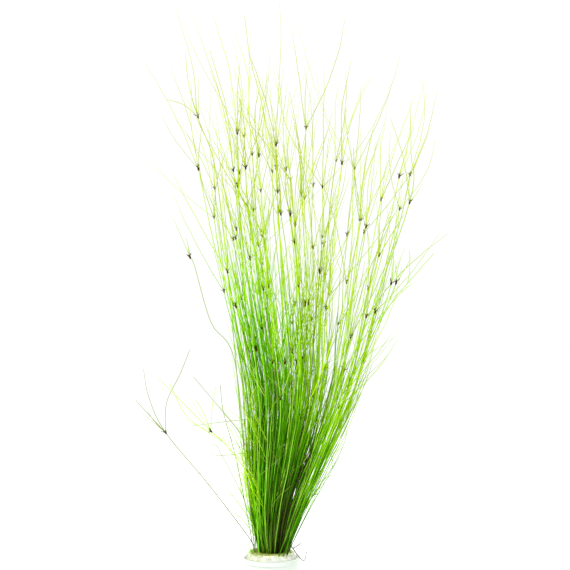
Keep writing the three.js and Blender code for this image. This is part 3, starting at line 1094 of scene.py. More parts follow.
# %% [markdown]
# ## Buds
#
# A bud is a spindle of overlapping brown scales, one to two and a half millimetres thick and about
# three to six long. From a step away it is a dark point on the stem, and what makes it a bud and not
# a bead are the pointed scales that stand off its top in a V. So the spindle's outline is stepped,
# one step for each row of scales, and three to five slim cones lean out of it.

# %% Skin of a bud
BUD_SIDES = 8
SCALE_ROWS = 4
SCALE_STEP = 0.2
BUD_BELLY = 0.8
BUD_FULLNESS = 0.75
BUD_LENGTHS = (0.9, 1.25)
BUD_GIRTHS = (0.75, 0.95)
BUD_END = 0.3
BRACTS_LEAST = 3
BRACTS_MORE = 3
BRACT_SIDES = 5
BRACT_TURN = 0.5
BRACT_LEANS = (0.3, 1.05)
BRACT_LENGTHS = (0.6, 1.2)
BRACT_LENGTH = 4.0
BRACT_ROOTS = (-0.1, 0.3)
BRACT_OUT = 0.5
BRACT_BEND = 0.15
BRACT_RADII = np.array([0.32, 0.36, 0.24, 0.05])


def add_bud(growth, place, axis, look, size, **facts):
    share = np.linspace(0, 1, 4 * SCALE_ROWS + 1)
    length = BUD_LENGTH * size * between(*BUD_LENGTHS, look())
    outline = np.sin(np.pi * share**BUD_BELLY) ** BUD_FULLNESS
    step = 1 - SCALE_STEP * ((share * SCALE_ROWS) % 1)
    radii = np.maximum(BUD_END, BUD_RADIUS * size * outline * step * between(*BUD_GIRTHS, look()))
    line = place + np.outer((share - 0.5) * length, axis)
    growth.add_tube(line, radii, BUD_SIDES, 1, **facts)
    turn = any_turn(look)
    bracts = BRACTS_LEAST + int(BRACTS_MORE * look())
    for k in range(bracts):
        outward = outward_of(axis, turn + 2 * math.pi * k / bracts + BRACT_TURN * either_way(look))
        heading = tilted(axis, outward, between(*BRACT_LEANS, look()))
        reach = BRACT_LENGTH * size * between(*BRACT_LENGTHS, look())
        root = place + axis * length * between(*BRACT_ROOTS, look()) + outward * BRACT_OUT * size
        tip = root + heading * reach
        middle = (root + tip) / 2 + outward * BRACT_BEND * reach
        bract = smooth_line([root, middle, tip], 2)[[0, 1, 3, 4]]
        growth.add_tube(bract, BRACT_RADII * size, BRACT_SIDES, 1, **facts)


print("a bud has", 4 * SCALE_ROWS * BUD_SIDES, "faces without its bracts")

# %% [markdown]
# ## Sums inside a finish
#
# A finish can also reckon. The stems need that: their colour depends on how high a point is, and on
# the facts that it carries. These helpers read such numbers, add them up, let one fade into another
# and turn the result into a colour. The colours could be stored on the points instead, but a ramp of
# them can then be tuned in one place.

# %% Helpers that read, reckon and colour
def fact(material, name):
    """A number that the points of a mesh carry under this name."""
    return add(material, "Attribute", {"attribute_name": name}).node.outputs["Fac"]


def coordinate(material, axis):
    """The place on the plant along one axis, in metres."""
    return add(material, "SeparateXYZ", Vector=object_place(material)).node.outputs[axis]


def calculate(material, operation, *values):
    inputs = {f"i{n}": value for n, value in enumerate(values)}
    return add(material, "Math", {"operation": operation}, **inputs)


def total(material, first, *others):
    for value in others:
        first = calculate(material, "ADD", first, value)
    return first


def fade(material, value, start, end, first=0.0, last=1.0):
    """Goes from first to last while value goes from start to end, and no further."""
    return add(material, "MapRange", Value=value, From_Min=start, From_Max=end, To_Min=first, To_Max=last)


def rise_and_fall(material, value, rise, fall, top, foot=0.0):
    """Goes from foot to top while value passes through rise, and down to 0 through fall."""
    rising = fade(material, value, *rise, foot, top)
    falling = fade(material, value, *fall, top, 0.0)
    return calculate(material, "MINIMUM", rising, falling)


def ramp(material, share, stops):
    """A colour that runs through (place, colour) stops as share goes from 0 to 1."""
    node = add(material, "ValToRGB", Fac=share).node
    colours = node.color_ramp.elements
    while len(colours) < len(stops):
        colours.new(0.5)
    for element, (place, colour) in zip(colours, stops):
        element.position = place
        element.color = (*colour, 1)
    return node.outputs["Color"]


def bump(material, shader, height, depth, strength):
    normal = add(material, "Bump", Height=height, Distance=depth, Strength=strength)
    material.node_tree.links.new(normal, shader.inputs["Normal"])


print("the finishes can read", FACTS)

# %% [markdown]
# ## The finish of a living stem
#
# A stem's colour is told by its height: near black-green in the crowded foot, grass green above it,
# and a pale yellow-green in the young shoots that reach the light. The near black of the foot is
# partly the stems' own colour and partly painted shade of the crowd. That run of colours is one ramp,
# and everything else moves a stem along it. Low down, a stem at the edge of the sheaf gets painted
# side light: it is taken further up the ramp. At mid height the stems of the airy right are taken up,
# as painted light, and those of the dense left down, as painted shade. On top of that each stem has
# its own tone, spread wider at the foot to paint lit and shaded stems there, and the lightest tones
# are mixed toward a pale green that is partly a painted highlight. A few stems have withered to straw
# and brown. Fine ribs run along a stem, and its cell walls show as faint rings. They are too fine for
# mesh, so they are bump: noise that is stretched along or across it.

# %% Colours of living stems
# The darkest stops, at the foot, are partly the stems' own dark green, partly painted shade of the crowd.
STEM_COLOURS = [
    (0.0, (0.035, 0.085, 0.001)),
    (0.09, (0.052, 0.215, 0.001)),
    (0.20, (0.078, 0.335, 0.001)),
    (0.30, (0.158, 0.500, 0.001)),
    (0.45, (0.290, 0.600, 0.002)),
    (0.58, (0.350, 0.560, 0.004)),
    (0.75, (0.410, 0.530, 0.030)),
    (1.0, (0.450, 0.550, 0.090)),
]
STRAY_COLOURS = [
    (0.0, (0.100, 0.190, 0.020)),
    (0.15, (0.200, 0.300, 0.090)),
    (0.35, (0.300, 0.400, 0.160)),
    (0.60, (0.340, 0.480, 0.080)),
    (1.0, (0.430, 0.570, 0.080)),
]
# A pale yellow-green: partly the stems' own colour, partly a painted highlight on lit stems.
PALE_AND_HIGHLIGHT = (0.42, 0.62, 0.10)
STRAW = (0.30, 0.33, 0.07)
WITHERED = (0.014, 0.012, 0.003)
print("colours from foot to tip:", len(STEM_COLOURS))

# %% Finish of living stems
FOOT_HEIGHT = 0.051
TOP_HEIGHT = 0.547
TONE_SHIFT = 0.14
YOUTH_SHIFT = 0.08
PATCH_SHIFT = 0.12
PAINTED_EDGE_LIGHT_AT_FOOT = 0.14
PAINTED_EDGE_LIGHT = 0.32
EDGE_RISE = (0.0, 0.13)
EDGE_FALL = (0.1, 0.45)
PAINTED_AIRY_LIGHT_AND_SHADE = 0.13
AIRY_RISE = (0.14, 0.26)
AIRY_FALL = (0.42, 0.65)
STRAW_UNTIL = 0.6
AGE_REACH = 1.6
TONE_POWER = 1.5
CONTRAST_HEIGHT = 0.5
CONTRAST_LOW = 2.0
CONTRAST_HIGH = 0.5
PALE_TONES = (0.78, 1.0)
PALE_HIGHLIGHT_SHARE = 0.7
STREAKS = 0.5
EVENED = (-0.4, 0.78)
ROUGHNESS = (0.25, 0.3)


def stem_finish(name, colours):
    material, shader = finish(name, 0.5, specular=0.02)
    tone = fact(material, "tone")
    age = fact(material, "age")
    # 0 on the wool and 1 at the top of the plant
    risen = fade(material, coordinate(material, "Z"), FOOT_HEIGHT, TOP_HEIGHT)

    # What moves the stem along the ramp
    toned = calculate(material, "MULTIPLY_ADD", tone, TONE_SHIFT, -TONE_SHIFT / 2)
    young = calculate(material, "MULTIPLY", fact(material, "youth"), YOUTH_SHIFT)
    # Painted side light, low down at the edge of the sheaf
    side_light = rise_and_fall(material, risen, EDGE_RISE, EDGE_FALL, PAINTED_EDGE_LIGHT, PAINTED_EDGE_LIGHT_AT_FOOT)
    lit = calculate(material, "MULTIPLY", fact(material, "outer"), side_light)
    # Painted light on the airy right and painted shade on the dense left
    open_light = rise_and_fall(material, risen, AIRY_RISE, AIRY_FALL, PAINTED_AIRY_LIGHT_AND_SHADE)
    airy = calculate(material, "MULTIPLY", fact(material, "airy"), open_light)
    patches = noise(material, (60, 60, 18), 4.0)
    patched = calculate(material, "MULTIPLY_ADD", patches, PATCH_SHIFT, -PATCH_SHIFT / 2)
    place = total(material, risen, toned, total(material, young, lit, airy), patched)

    # Green, or straw and brown
    green = ramp(material, place, colours)
    aged = ramp(material, age, [(0.0, STRAW), (STRAW_UNTIL, STRAW), (1.0, WITHERED)])
    old = calculate(material, "SMOOTH_MIN", calculate(material, "MULTIPLY", age, AGE_REACH), 1.0)
    colour = mix(material, old, green, aged)

    # How light it is: its tone tells more at the foot than at the top; at the foot it also paints lit and
    # shaded stems
    ribs = noise(material, (2600, 2600, 60), 2.0)
    rings = noise(material, (40, 40, 900), 1.0)
    contrast = fade(material, risen, 0.0, CONTRAST_HEIGHT, CONTRAST_LOW, CONTRAST_HIGH)
    light = calculate(material, "MULTIPLY", calculate(material, "POWER", tone, TONE_POWER), contrast)
    evened = calculate(material, "MULTIPLY_ADD", contrast, *EVENED)
    streaks = calculate(material, "MULTIPLY", ribs, STREAKS)
    value = total(material, streaks, total(material, light, evened))
    shade = add(material, "HueSaturation", Value=value, Color=colour)

    # The lightest of the fresh ones are pale, partly their own colour and partly a painted highlight
    pale_highlight = fade(material, tone, *PALE_TONES, 0.0, PALE_HIGHLIGHT_SHARE)
    fresh = calculate(material, "SUBTRACT", 1.0, old)
    shade = mix(material, calculate(material, "MULTIPLY", pale_highlight, fresh), shade, PALE_AND_HIGHLIGHT)
    paint(material, shader, shade, calculate(material, "MULTIPLY_ADD", rings, *ROUGHNESS))
    bump(material, shader, total(material, ribs, rings), depth=0.0001, strength=0.5)
    return material


living = stem_finish("living stem", STEM_COLOURS)
fallen = stem_finish("fallen stem", STRAY_COLOURS)
print("nodes in the stem's finish:", len(living.node_tree.nodes))

# %% [markdown]
# ## The finish of a bud
#
# The scales are light brown where they are young, at their bases, and nearly black at their tips.
# The place along the skin, which every point carries, gives that change, and noise breaks it up.

# %% Finish of buds
bud_finish, bud_shader = finish("brown scales", 0.7, specular=0.01)
bud_grain = noise(bud_finish, (1800, 1800, 700), 4.0)
bud_spots = calculate(bud_finish, "MULTIPLY_ADD", bud_grain, 0.7, -0.3)
bud_place = total(bud_finish, fact(bud_finish, "along"), bud_spots)
bud_colours = [(0.0, (0.150, 0.085, 0.006)), (0.3, (0.048, 0.022, 0.002)), (1.0, (0.016, 0.008, 0.001))]
paint(bud_finish, bud_shader, ramp(bud_finish, bud_place, bud_colours))
bump(bud_finish, bud_shader, bud_grain, depth=0.0003, strength=0.7)
print("nodes in the bud's finish:", len(bud_finish.node_tree.nodes))

# %% [markdown]
# ## How a stem of the sheaf is lit
#
# In a crowd the stems at the edge catch the light first, and on the airy right more of it comes
# through. Rendering shows part of that, but the thinnest stems lose it, so the finish paints it into
# their colour: painted side light at the edge, painted light on the airy right and painted shade on
# the dense left. It has to know where its stem stands: two facts are worked out from the stem's
# place (u, v). To find them by shading would be slower, and would go wrong in the exported model.

# %% Painted side light, and painted open light and shade
EDGE_FROM = 0.52
EDGE_WIDTH = 0.42
EDGE_DEPTH_SHARE = 0.35
RIGHT_LIGHT = 0.7
AIRY_PLACES = [-0.88, -0.62, -0.3, 0.0, 0.35, 0.75, 1.0]
AIRY_SHARES = [-0.2, -1.0, -1.0, 0.0, 1.0, 1.0, 0.5]


def light_at(rule):
    """Facts outer and airy: painted side light, painted light where the sheaf is open and shade where
    dense.
    """
    out = math.hypot(rule["u"], EDGE_DEPTH_SHARE * rule["v"])
    outer = float(smooth_step((out - EDGE_FROM) / EDGE_WIDTH))
    # The lamp is on the left, so the painted side light is weaker on the right
    if rule["u"] >= 0:
        outer *= RIGHT_LIGHT
    return {"outer": outer, "airy": float(np.interp(rule["u"], AIRY_PLACES, AIRY_SHARES))}


print("light of a stem near the left edge:", light_at({"u": -0.8, "v": 0}))

# %% [markdown]
# ## Dressing the tufts
#
# Each tuft becomes one piece that stands in for its solid: the crown, the stems that the solid has,
# and the thin ones. Three kinds of fine growth are added: some more shoots in the umbels, side
# shoots that leave the taller stems part of the way up and get caught in the others, and hairs that
# lean out of the sheaf's left edge. Chance gives every stem its tone, and about one plain stem in
# sixteen is old. The dead tuft gets the same skins, with full age.

# %% Skins of one stem of the sheaf
LEAST_STEPS = 8
GIRTHS = (0.85, 1.15)
BUD_SIZES = (0.55, 1.0)
WISPS = 2.0
WISP_GIRTH = 0.6
WISP_REACH = 1.2
WISP_OPENINGS = (0.05, 0.95)


def add_grown(growth, stem, look, age):
    """The skins of one stem of the sheaf, with its bud and shoots."""
    rule = stem["stem"]
    steps = max(LEAST_STEPS, round(rule["length"] / RING_EVERY))
    has_umbel = bool(stem["shoots"])
    line = wander(stem_line(rule, steps), look)
    tone = look()
    radii = stem_radii(len(line), has_umbel, rule["girth"] * between(*GIRTHS, look()))
    light = light_at(rule)
    growth.add_tube(line, radii, STEM_SIDES, tone=tone, age=age, **light)
    if has_umbel:
        axis = unit(line[-1] - line[-2])
        shift = line[-1] - stem["line"][-1]
        add_bud(growth, line[-1], axis, look, between(*BUD_SIZES, look()), tone=look())
        for shoot in stem["shoots"]:
            add_shoot(growth, shoot + shift, rule["girth"], look, tone=look(), **light)
        for _ in range(int(WISPS * look())):
            opening = between(*WISP_OPENINGS, look())
            wisp = shoot_line(look, line[-1], axis, any_turn(look), opening)
            add_shoot(growth, scaled(wisp, WISP_REACH), WISP_GIRTH, look, tone=look(), **light)


print("more shoots in an umbel: up to", math.ceil(WISPS) - 1)

# %% Side shoots and edge hairs
LINE_STEPS = 12
LOW_BIAS = 1.5
SIDE_SHOOTS = 2.2
SIDE_STEPS = (2, 7)
SIDE_GIRTH = 0.6
SIDE_OPENINGS = (0.15, 1.2)
SIDE_SHARES = (0.3, 0.9)
SIDE_SHOOT_PAINTED_LIGHT = 0.8
HAIRS = 2.8
HAIR_STEPS = (1, 8)
HAIR_ASIDE = 0.8
HAIR_LENGTHS = (18, 70)
HAIR_OPENINGS = (0.08, 0.6)
HAIR_CURL = 0.25
HAIR_DROOP = 0.6
HAIR_BEND = 0.6
HAIR_GIRTH = 0.65
HAIR_TONES = (0.4, 1.0)


def place_on(stem, first, choices, share):
    """A point part of the way up a stem, and the way the stem heads there."""
    line = stem_line(stem["stem"], LINE_STEPS)
    at = first + int(choices * share)
    return line[at], unit(line[at + 1] - line[at])


def add_side_shoots(growth, stem, look, age):
    """Fine shoots that leave a stem part of the way up and get caught in the others."""
    for _ in range(int(SIDE_SHOOTS * look())):
        root, axis = place_on(stem, *SIDE_STEPS, look())
        opening = between(*SIDE_OPENINGS, look() ** LOW_BIAS)
        shoot = shoot_line(look, root, axis, any_turn(look), opening)
        shoot = scaled(shoot, between(*SIDE_SHARES, look()))
        # outer gives the side shoots painted side light
        add_shoot(growth, shoot, SIDE_GIRTH, look, tone=look(), age=age, outer=SIDE_SHOOT_PAINTED_LIGHT)


def add_edge_hairs(growth, stem, look):
    """Pale hairs that lean out of the sheaf's left edge, low down, with a bend near the tip."""
    for _ in range(int(HAIRS * look())):
        root, axis = place_on(stem, *HAIR_STEPS, look() ** LOW_BIAS)
        outward = unit(np.array([-1, HAIR_ASIDE * either_way(look), 0]))
        heading = tilted(axis, outward, between(*HAIR_OPENINGS, look() ** 2))
        length = between(*HAIR_LENGTHS, look())
        curl = length * HAIR_CURL * either_way(look) * outward
        tip = root + length * heading + curl + np.array([0, 0, -abs(curl[0]) * HAIR_DROOP])
        points = np.array([root, root + HAIR_BEND * length * heading, tip])
        # outer=1 gives the hairs full painted side light, which with their light tones makes them pale
        add_shoot(growth, points, HAIR_GIRTH, look, tone=between(*HAIR_TONES, look()), outer=1)


print("on one stem: up to", int(SIDE_SHOOTS), "side shoots and", int(HAIRS), "hairs")

# %% Build the tufts
LOOK_SEED = 5200
OLD_SHARE = 0.06
OLD_AGES = (0.3, 1.0)
DEAD_AGES = (0.92, 1.0)
SIDE_AGES = (0.1, 0.4)
CROWN_AGE = 0.9
HAIRS_FROM = -0.35


def build_tuft(index):
    look = random_stream(LOOK_SEED + index)
    is_dead = index == DEAD_TUFT
    growth = Growth()
    base, stems = tufts[index]
    add_crown(growth, base, age=CROWN_AGE, tone=look())
    for stem in stems + thin_stems[index] + leaning_stems[index]:
        is_old = is_dead or (look() < OLD_SHARE and not stem["shoots"])
        age = between(*(DEAD_AGES if is_dead else OLD_AGES), look()) * is_old
        add_grown(growth, stem, look, age)
        if stem["stem"]["length"] > TALL_PLAIN:
            add_side_shoots(growth, stem, look, between(*SIDE_AGES, look()))
        if stem["stem"]["u"] < HAIRS_FROM:
            add_edge_hairs(growth, stem, look)
    name = tuft_name(index)
    piece = growth.make("grown_" + name, [living, bud_finish])
    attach(piece, "root")
    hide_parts(name)
    return piece


for index in range(TUFTS):
    build_tuft(index)
print("tufts:", len(pieces_made), "faces:", sum(len(piece.data.polygons) for piece in pieces_made))

# %% [markdown]
# ## Dressing the single stems
#
# The single stems follow smooth lines through the same points as their solids, and their feet curl
# on into the wool. Where a line has a bud, the stem below it is thicker than the shoot above it, and
# more fine shoots fan out of the bud than the solid has. Six of them have aged, and get a ramp of
# their own: greyish at the foot and pale in their shoots. The others are as fresh as the sheaf.

# %% Lines and radii of a single stem
SINGLE_LINES = 6
LOW_START = 52
ROOT_DEPTH = 4.5
ROOT_CURL = 1.6
STRAY_TIP = 0.22
BRANCH_PROFILE = ([0, 0.8, 1], [0.9 * SHOOT_SKIN, 0.8 * SHOOT_SKIN, STRAY_TIP])
STRAY_PROFILE = ([0, 0.7, 1], [0.95 * STEM_SKIN, 0.75 * STEM_SKIN, STRAY_TIP])
BELOW_BUD = 0.9 * STEM_SKIN
NECK = 0.04
NECK_LATEST = 0.98


def single_radii(count, bud, is_branch):
    """The radius at each of a part's smooth points."""
    share = np.linspace(0, 1, count)
    if is_branch:
        return np.interp(share, *BRANCH_PROFILE)
    if bud is None:
        return np.interp(share, *STRAY_PROFILE)
    bud_at = bud * SINGLE_LINES / (count - 1)
    places = [0, bud_at, min(NECK_LATEST, bud_at + NECK), 1]
    return np.interp(share, places, [STEM_SKIN, BELOW_BUD, SHOOT_SKIN, TIP_RADIUS])


def with_root(points):
    """The points of a part, and one more in the wool if it starts there."""
    if points[0][2] >= LOW_START:
        return points
    inward = unit(points[0] * (-1, -1, 0))
    root = points[0] + ROOT_DEPTH * unit(inward * ROOT_CURL - UP)
    return np.concatenate([[root], points])


print("a root goes", ROOT_DEPTH, "mm into the wool")

# %% Build the single stems
SINGLE_SEED = 6400
SINGLE_AGES = {"stray_left_low": 0.2, "stray_left_back": 0.2, "stray_over_rim": 0.35}
SINGLE_TONES = {
    "stray_left_front": 0.8, "stray_over_rim": 0.0, "stray_right_low": 0.2, "young_sprouts": 0.8,
}
USUAL_TONE = 0.42
OLD_STRAYS = (
    "stray_left_low", "stray_left_back", "stray_left_forked", "stray_left_folded", "stray_over_rim",
    "tall_left_stem",
)
SINGLE_PAINTED_LIGHT = 0.8
SINGLE_GIRTHS = {"stray_over_rim": 1.35, "tall_left_stem": 0.85}
SINGLE_BUD = 0.9
BRANCH_YOUTH = 0.5
FINE_SHOOTS = 2
FINE_OPENINGS = (0.15, 0.6)
FINE_LENGTHS = (18, 42)
FINE_GIRTH = 0.75


def build_single(number, name, parts):
    look = random_stream(SINGLE_SEED + number)
    growth = Growth()
    for each in parts:
        points = with_root(each["line"])
        line = smooth_line(points, SINGLE_LINES)
        bud = each["bud"]
        if bud is not None:
            bud += len(points) - len(each["line"])
        is_branch = each is not parts[0]
        tone = SINGLE_TONES.get(name, USUAL_TONE) * between(*GIRTHS, look())
        # outer gives the single stems painted side light
        facts = {"tone": tone, "age": SINGLE_AGES.get(name, 0.0), "outer": SINGLE_PAINTED_LIGHT}
        radii = SINGLE_GIRTHS.get(name, 1.0) * single_radii(len(line), bud, is_branch)
        growth.add_tube(line, radii, STEM_SIDES, youth=BRANCH_YOUTH * is_branch, **facts)
        if bud is not None:
            axis = unit(line[bud * SINGLE_LINES] - line[bud * SINGLE_LINES - 1])
            add_bud(growth, points[bud], axis, look, SINGLE_BUD)
            for _ in range(FINE_SHOOTS):
                opening = between(*FINE_OPENINGS, look())
                shoot = shoot_line(look, points[bud], axis, any_turn(look), opening)
                reach = min(1.0, between(*FINE_LENGTHS, look()) / np.linalg.norm(shoot[-1] - shoot[0]))
                add_shoot(growth, scaled(shoot, reach), FINE_GIRTH, look, **facts)
    piece = growth.make("grown_" + name, [fallen if name in OLD_STRAYS else living, bud_finish])
    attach(piece, "root")
    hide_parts(name)
    return piece


for number, (name, parts) in enumerate(SINGLE_STEMS.items()):
    build_single(number, name, parts)
print("pieces so far:", len(pieces_made))

# %% [markdown]
# ## The pot
#
# The pot is a thin-walled white cup, moulded in plastic. Only its lip shows in the picture: a soft
# rounded roll with a narrow shadow under it. A lathe makes it: one outline, turned round the upright
# axis. The outline starts and ends on the axis, so the cup is closed, with a floor and an inside.

# %% A lathe
def arc(middle, radius, first, last, count=6):
    """Points of a round corner in the outline, between two angles in degrees."""
    turn = np.radians(np.linspace(first, last, count))
    return [(middle[0] + radius * math.cos(t), middle[1] + radius * math.sin(t)) for t in turn]


def straight(start, end, count):
    share = np.linspace(0, 1, count)
    return [tuple(between(np.array(start), np.array(end), s)) for s in share]


def lathe(outline, sides):
    """The skin of an outline turned round the upright axis. It starts and ends on the axis."""
    radii, heights = np.array(outline).T
    turn = 2 * np.pi * np.arange(sides) / sides
    across = np.outer(radii, np.cos(turn)), np.outer(radii, np.sin(turn))
    rings = np.stack([*across, np.outer(heights, np.ones(sides))], -1)
    walk = np.concatenate([[0], np.cumsum(np.hypot(np.diff(radii), np.diff(heights)))])
    return closed_skin(rings[1:-1], (0, 0, heights[0]), (0, 0, heights[-1]), walk / walk[-1])


print("a quarter round has", len(arc((0, 0), 1, 0, 90)), "points")

# %% Shape of the pot
POT_SIDES = 96
POT_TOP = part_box("pot")[1].z / MM
LIP_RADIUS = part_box("pot")[1].x / MM
LIP_HEIGHT = 4
WALL_TOP_RADIUS = 24.4
WALL_FOOT_RADIUS = 21.5
WALL = 1.2
POT_FLOOR = 2
LIP_ROUND = 1.1
FOOT_ROUND = 1.0

lip_foot = POT_TOP - LIP_HEIGHT
pot_outline = [
    *straight((0, 0), (WALL_FOOT_RADIUS - FOOT_ROUND, 0), 5),
    *arc((WALL_FOOT_RADIUS - FOOT_ROUND, FOOT_ROUND), FOOT_ROUND, -80, 0),
    *straight((WALL_FOOT_RADIUS + 0.1, 3), (WALL_TOP_RADIUS, lip_foot), 12),
    (LIP_RADIUS - 0.4, lip_foot),
    (LIP_RADIUS - 0.1, lip_foot + 0.3),
    *arc((LIP_RADIUS - LIP_ROUND, POT_TOP - LIP_ROUND), LIP_ROUND, 0, 90),
    *arc((WALL_TOP_RADIUS - WALL + 0.5, POT_TOP - 0.5), 0.5, 90, 170),
    *straight((WALL_TOP_RADIUS - WALL - 0.1, POT_TOP - 2), (WALL_FOOT_RADIUS - WALL, POT_FLOOR), 8),
    (0, POT_FLOOR),
]
print("the pot's outline has", len(pot_outline), "points")

# %% Finish of the pot, and the piece
pot_finish, pot_shader = finish("white moulded plastic", 0.35, specular=0.5)
pot_film = noise(pot_finish, (90, 90, 160), 5.0, 0.6)
pot_colours = [(0.3, (0.58, 0.65, 0.57)), (0.62, (0.63, 0.69, 0.63)), (1, (0.69, 0.73, 0.68))]
pot_scuffs = noise(pot_finish, (700, 700, 2600))
pot_rough = calculate(pot_finish, "MULTIPLY_ADD", pot_scuffs, 0.2, 0.28)
paint(pot_finish, pot_shader, ramp(pot_finish, pot_film, pot_colours), pot_rough)
bump(pot_finish, pot_shader, pot_scuffs, depth=0.0001, strength=0.25)

pot_growth = Growth()
pot_growth.add(lathe(pot_outline, POT_SIDES))
pot = pot_growth.make("moulded_pot", [pot_finish])
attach(pot, "root")
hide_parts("pot")
print("pot:", len(pot.data.polygons), "faces")

# %% [markdown]
# ## The plug of mineral wool
#
# Mineral wool is a cushion of glassy fibres. Its body is a lathe again: flat on top, where the stems
# stand, with a sloping shoulder down to the pot's lip. Its faces are small, and noise pushes their
# points in and out, so that its edge is lumpy. The look of wool comes from its loose fibres, which
# are laid on it as a piece of their own. The wool is white, with a yellow-green film of growth on
# its left side and a stronger one where the stems stand.

# %% Shape of the plug
WOOL_RADIUS = 22.6
WOOL_FOOT_RADIUS = 19.7
WOOL_FOOT = 2.3
WOOL_SIDES = 160
WOOL_ROUND = 1.4
WOOL_LUMPS = 0.55
COARSE_LUMPS = 0.35
FINE_LUMPS = 1.3
FINE_SHARE = 0.6
TOP_SINK = 0.35
SIDE_SINK = 0.3
MOUND_RADIUS = 19

wool_outline = [
    *straight((0, WOOL_FOOT), (WOOL_FOOT_RADIUS, WOOL_FOOT), 4),
    *straight((WOOL_FOOT_RADIUS + 0.2, 8), (WOOL_RADIUS, POT_TOP - 1), 8),
    *straight((WOOL_RADIUS, POT_TOP - 0.4), (WOOL_RADIUS - 0.3, POT_TOP + 0.6), 3),
    *straight((WOOL_RADIUS - 0.8, POT_TOP + 1.1), (MOUND_RADIUS + 1.3, WOOL_TOP - 1.3), 9),
    *arc((MOUND_RADIUS, WOOL_TOP - WOOL_ROUND), WOOL_ROUND, 35, 90, 5),
    *straight((MOUND_RADIUS - 0.6, WOOL_TOP), (0, WOOL_TOP), 32),
]
wool_points, wool_faces, wool_corners = lathe(wool_outline, WOOL_SIDES)

for place in wool_points:
    if place[2] > POT_TOP - 2:
        coarse = shapes.noise(Vector(place) * COARSE_LUMPS)
        fine = shapes.noise(Vector(place) * FINE_LUMPS)
        depth = WOOL_LUMPS * (coarse + FINE_SHARE * fine)
        outward = np.array([place[0], place[1], 0]) / max(1.0, math.hypot(place[0], place[1]))
        is_top = place[2] > WOOL_TOP - 0.3
        place += UP * (depth - TOP_SINK) if is_top else outward * (depth - SIDE_SINK)

print("the plug's skin has", len(wool_points), "points")

# %% Finish of the plug, and the piece
WOOL_WHITE = (0.96, 0.97, 0.94)
FILM_OLIVE = (0.44, 0.53, 0.05)
FILM_LEFT = (0.004, -0.022)
FILM_EDGE = (0.0170, 0.0205)

wool_finish, wool_shader = finish("mineral wool", 0.9, specular=0.25, sheen=0.15)
wool_spots = noise(wool_finish, (190, 190, 190), 5.0, 0.6)
wool_side = fade(wool_finish, coordinate(wool_finish, "X"), *FILM_LEFT)
wool_flat = object_place(wool_finish, (1, 1, 0))
wool_out = add(wool_finish, "VectorMath", {"operation": "LENGTH"}, i0=wool_flat).node.outputs["Value"]
wool_foot = fade(wool_finish, wool_out, *FILM_EDGE, 1.0, 0.0)
wool_growth_share = calculate(wool_finish, "MULTIPLY_ADD", wool_side, 0.25, wool_foot)
wool_film = total(wool_finish, wool_spots, wool_growth_share)
wool_colours = [
    (0.0, WOOL_WHITE),
    (0.55, (0.93, 0.95, 0.86)),
    (0.75, (0.80, 0.87, 0.52)),
    (1.0, FILM_OLIVE),
]
paint(wool_finish, wool_shader, ramp(wool_finish, wool_film, wool_colours))
wool_threads = noise(wool_finish, (1500, 500, 1500), 5.0, 0.7)
bump(wool_finish, wool_shader, wool_threads, depth=0.0004, strength=0.6)

wool_growth = Growth()
wool_growth.add((wool_points, wool_faces, wool_corners))
wool = wool_growth.make("wool_body", [wool_finish])
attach(wool, "root")
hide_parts("wool_plug")
print("wool:", len(wool.data.polygons), "faces")

# %% [markdown]
# ## Loose fibres
#
# The fibres are short, stiff and fine. They lie in all directions, flat on the top and along the
# slope on the shoulder, and a few bow up and catch the light. Each is a tube with three sides, which
# is enough at this size. Hair curves would be quicker to make, but one joined mesh exports as it is.
# Near the stems the fibres are stained like the wool under them.

# %% One fibre
FIBRE_LENGTHS = (3, 10)
FIBRE_BOWS = (0.05, 0.9)
FIBRE_RADIUS = 0.075
FIBRE_GIRTHS = (0.7, 1.3)
FIBRE_PROFILE = np.array([0.5, 1, 1, 1, 0.5])
FIBRE_SIDES = 3
FIBRE_TILT = 0.2
SHOULDER_SHARE = 0.6
SHOULDER_SLOPE = 0.6
FIBRES_HIGHEST = WOOL_TOP + 1.2
FIBRES_WIDEST = WOOL_RADIUS + 0.9
FILM_WIDTH = 1.5


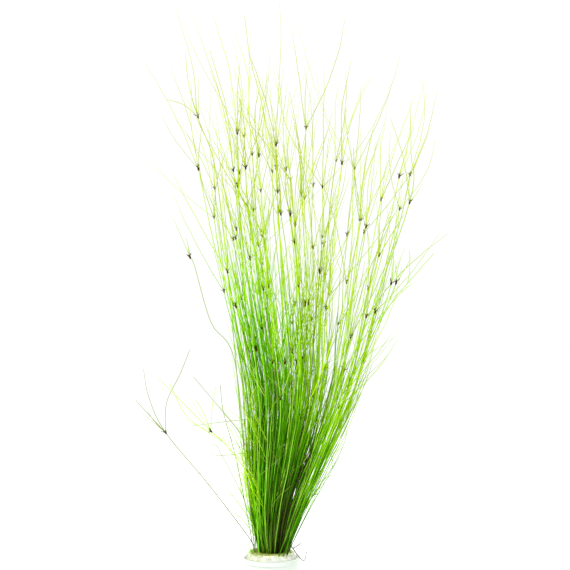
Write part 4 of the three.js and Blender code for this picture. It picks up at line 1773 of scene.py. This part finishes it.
def add_fibre(growth, look):
    around = any_turn(look)
    on_shoulder = look() < SHOULDER_SHARE
    rise = look()
    outward = np.array([math.cos(around), math.sin(around), 0])
    across = np.array([-math.sin(around), math.cos(around), 0])
    if on_shoulder:
        radius = between(WOOL_RADIUS - 0.3, MOUND_RADIUS + 0.5, rise)
        height = between(POT_TOP + 0.2, WOOL_TOP - 0.6, rise)
        turn = math.pi * look()
        heading = across * math.cos(turn) + (UP - outward) * math.sin(turn) * SHOULDER_SLOPE
        lift = unit(outward + UP)
    else:
        radius = MOUND_RADIUS * math.sqrt(rise)
        height = WOOL_TOP - 0.15
        turn = any_turn(look)
        heading = np.array([math.cos(turn), math.sin(turn), FIBRE_TILT * either_way(look)])
        lift = UP
    length = between(*FIBRE_LENGTHS, look() ** 2)
    bow = lift * between(*FIBRE_BOWS, look() ** 2)
    share = np.linspace(-0.5, 0.5, len(FIBRE_PROFILE))
    middle = outward * radius + UP * height
    line = middle + np.outer(share * length, unit(heading)) + np.outer(1 - (2 * share) ** 2, bow)
    line[:, 2] = np.minimum(line[:, 2], FIBRES_HIGHEST)
    reach = np.hypot(line[:, 0], line[:, 1])
    line[:, :2] *= np.minimum(1, FIBRES_WIDEST / reach)[:, None]
    radii = FIBRE_RADIUS * between(*FIBRE_GIRTHS, look()) * FIBRE_PROFILE
    film = np.clip((MOUND_RADIUS + FILM_WIDTH - radius) / FILM_WIDTH, 0, 1)
    growth.add_tube(line, radii, FIBRE_SIDES, tone=look(), age=film)


print("a fibre is", FIBRE_LENGTHS, "mm long")

# %% Build the fibres
FIBRES = 1900
FIBRE_SEED = 3300

fibre_look = random_stream(FIBRE_SEED)
fibre_growth = Growth()
for _ in range(FIBRES):
    add_fibre(fibre_growth, fibre_look)
fibre_finish, fibre_shader = finish("glassy fibre", 0.45, specular=0.5)
fibre_spots = noise(fibre_finish, (220, 220, 220))
fibre_toned = calculate(fibre_finish, "MULTIPLY", fact(fibre_finish, "tone"), 0.2)
fibre_film = total(fibre_finish, fibre_spots, fibre_toned)
fibre_colours = [(0.0, WOOL_WHITE), (0.65, (0.93, 0.95, 0.87)), (1.0, (0.66, 0.75, 0.32))]
fibre_clean = ramp(fibre_finish, fibre_film, fibre_colours)
fibre_stain = calculate(fibre_finish, "MULTIPLY", fact(fibre_finish, "age"), 0.9)
fibre_colour = mix(fibre_finish, fibre_stain, fibre_clean, FILM_OLIVE)
paint(fibre_finish, fibre_shader, fibre_colour)
fibres = fibre_growth.make("wool_fibres", [fibre_finish])
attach(fibres, "root")
print("fibres:", len(fibres.data.polygons), "faces")

# %% [markdown]
# ## Measuring the result
#
# The fine plant is meant to stay inside the box of its solids. Both boxes are written down, so that
# they can be set side by side.

# %% Compare the boxes
VISUAL_LOW, VISUAL_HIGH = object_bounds()
sizes = {
    "cad": [list(CAD_LOW), list(CAD_HIGH)],
    "visual": [list(VISUAL_LOW), list(VISUAL_HIGH)],
}
for name, (low, high) in sizes.items():
    print(name, "from", in_mm(low), "to", in_mm(high), "mm")
print("triangles:", sum(len(face.vertices) - 2 for piece in pieces_made for face in piece.data.polygons))
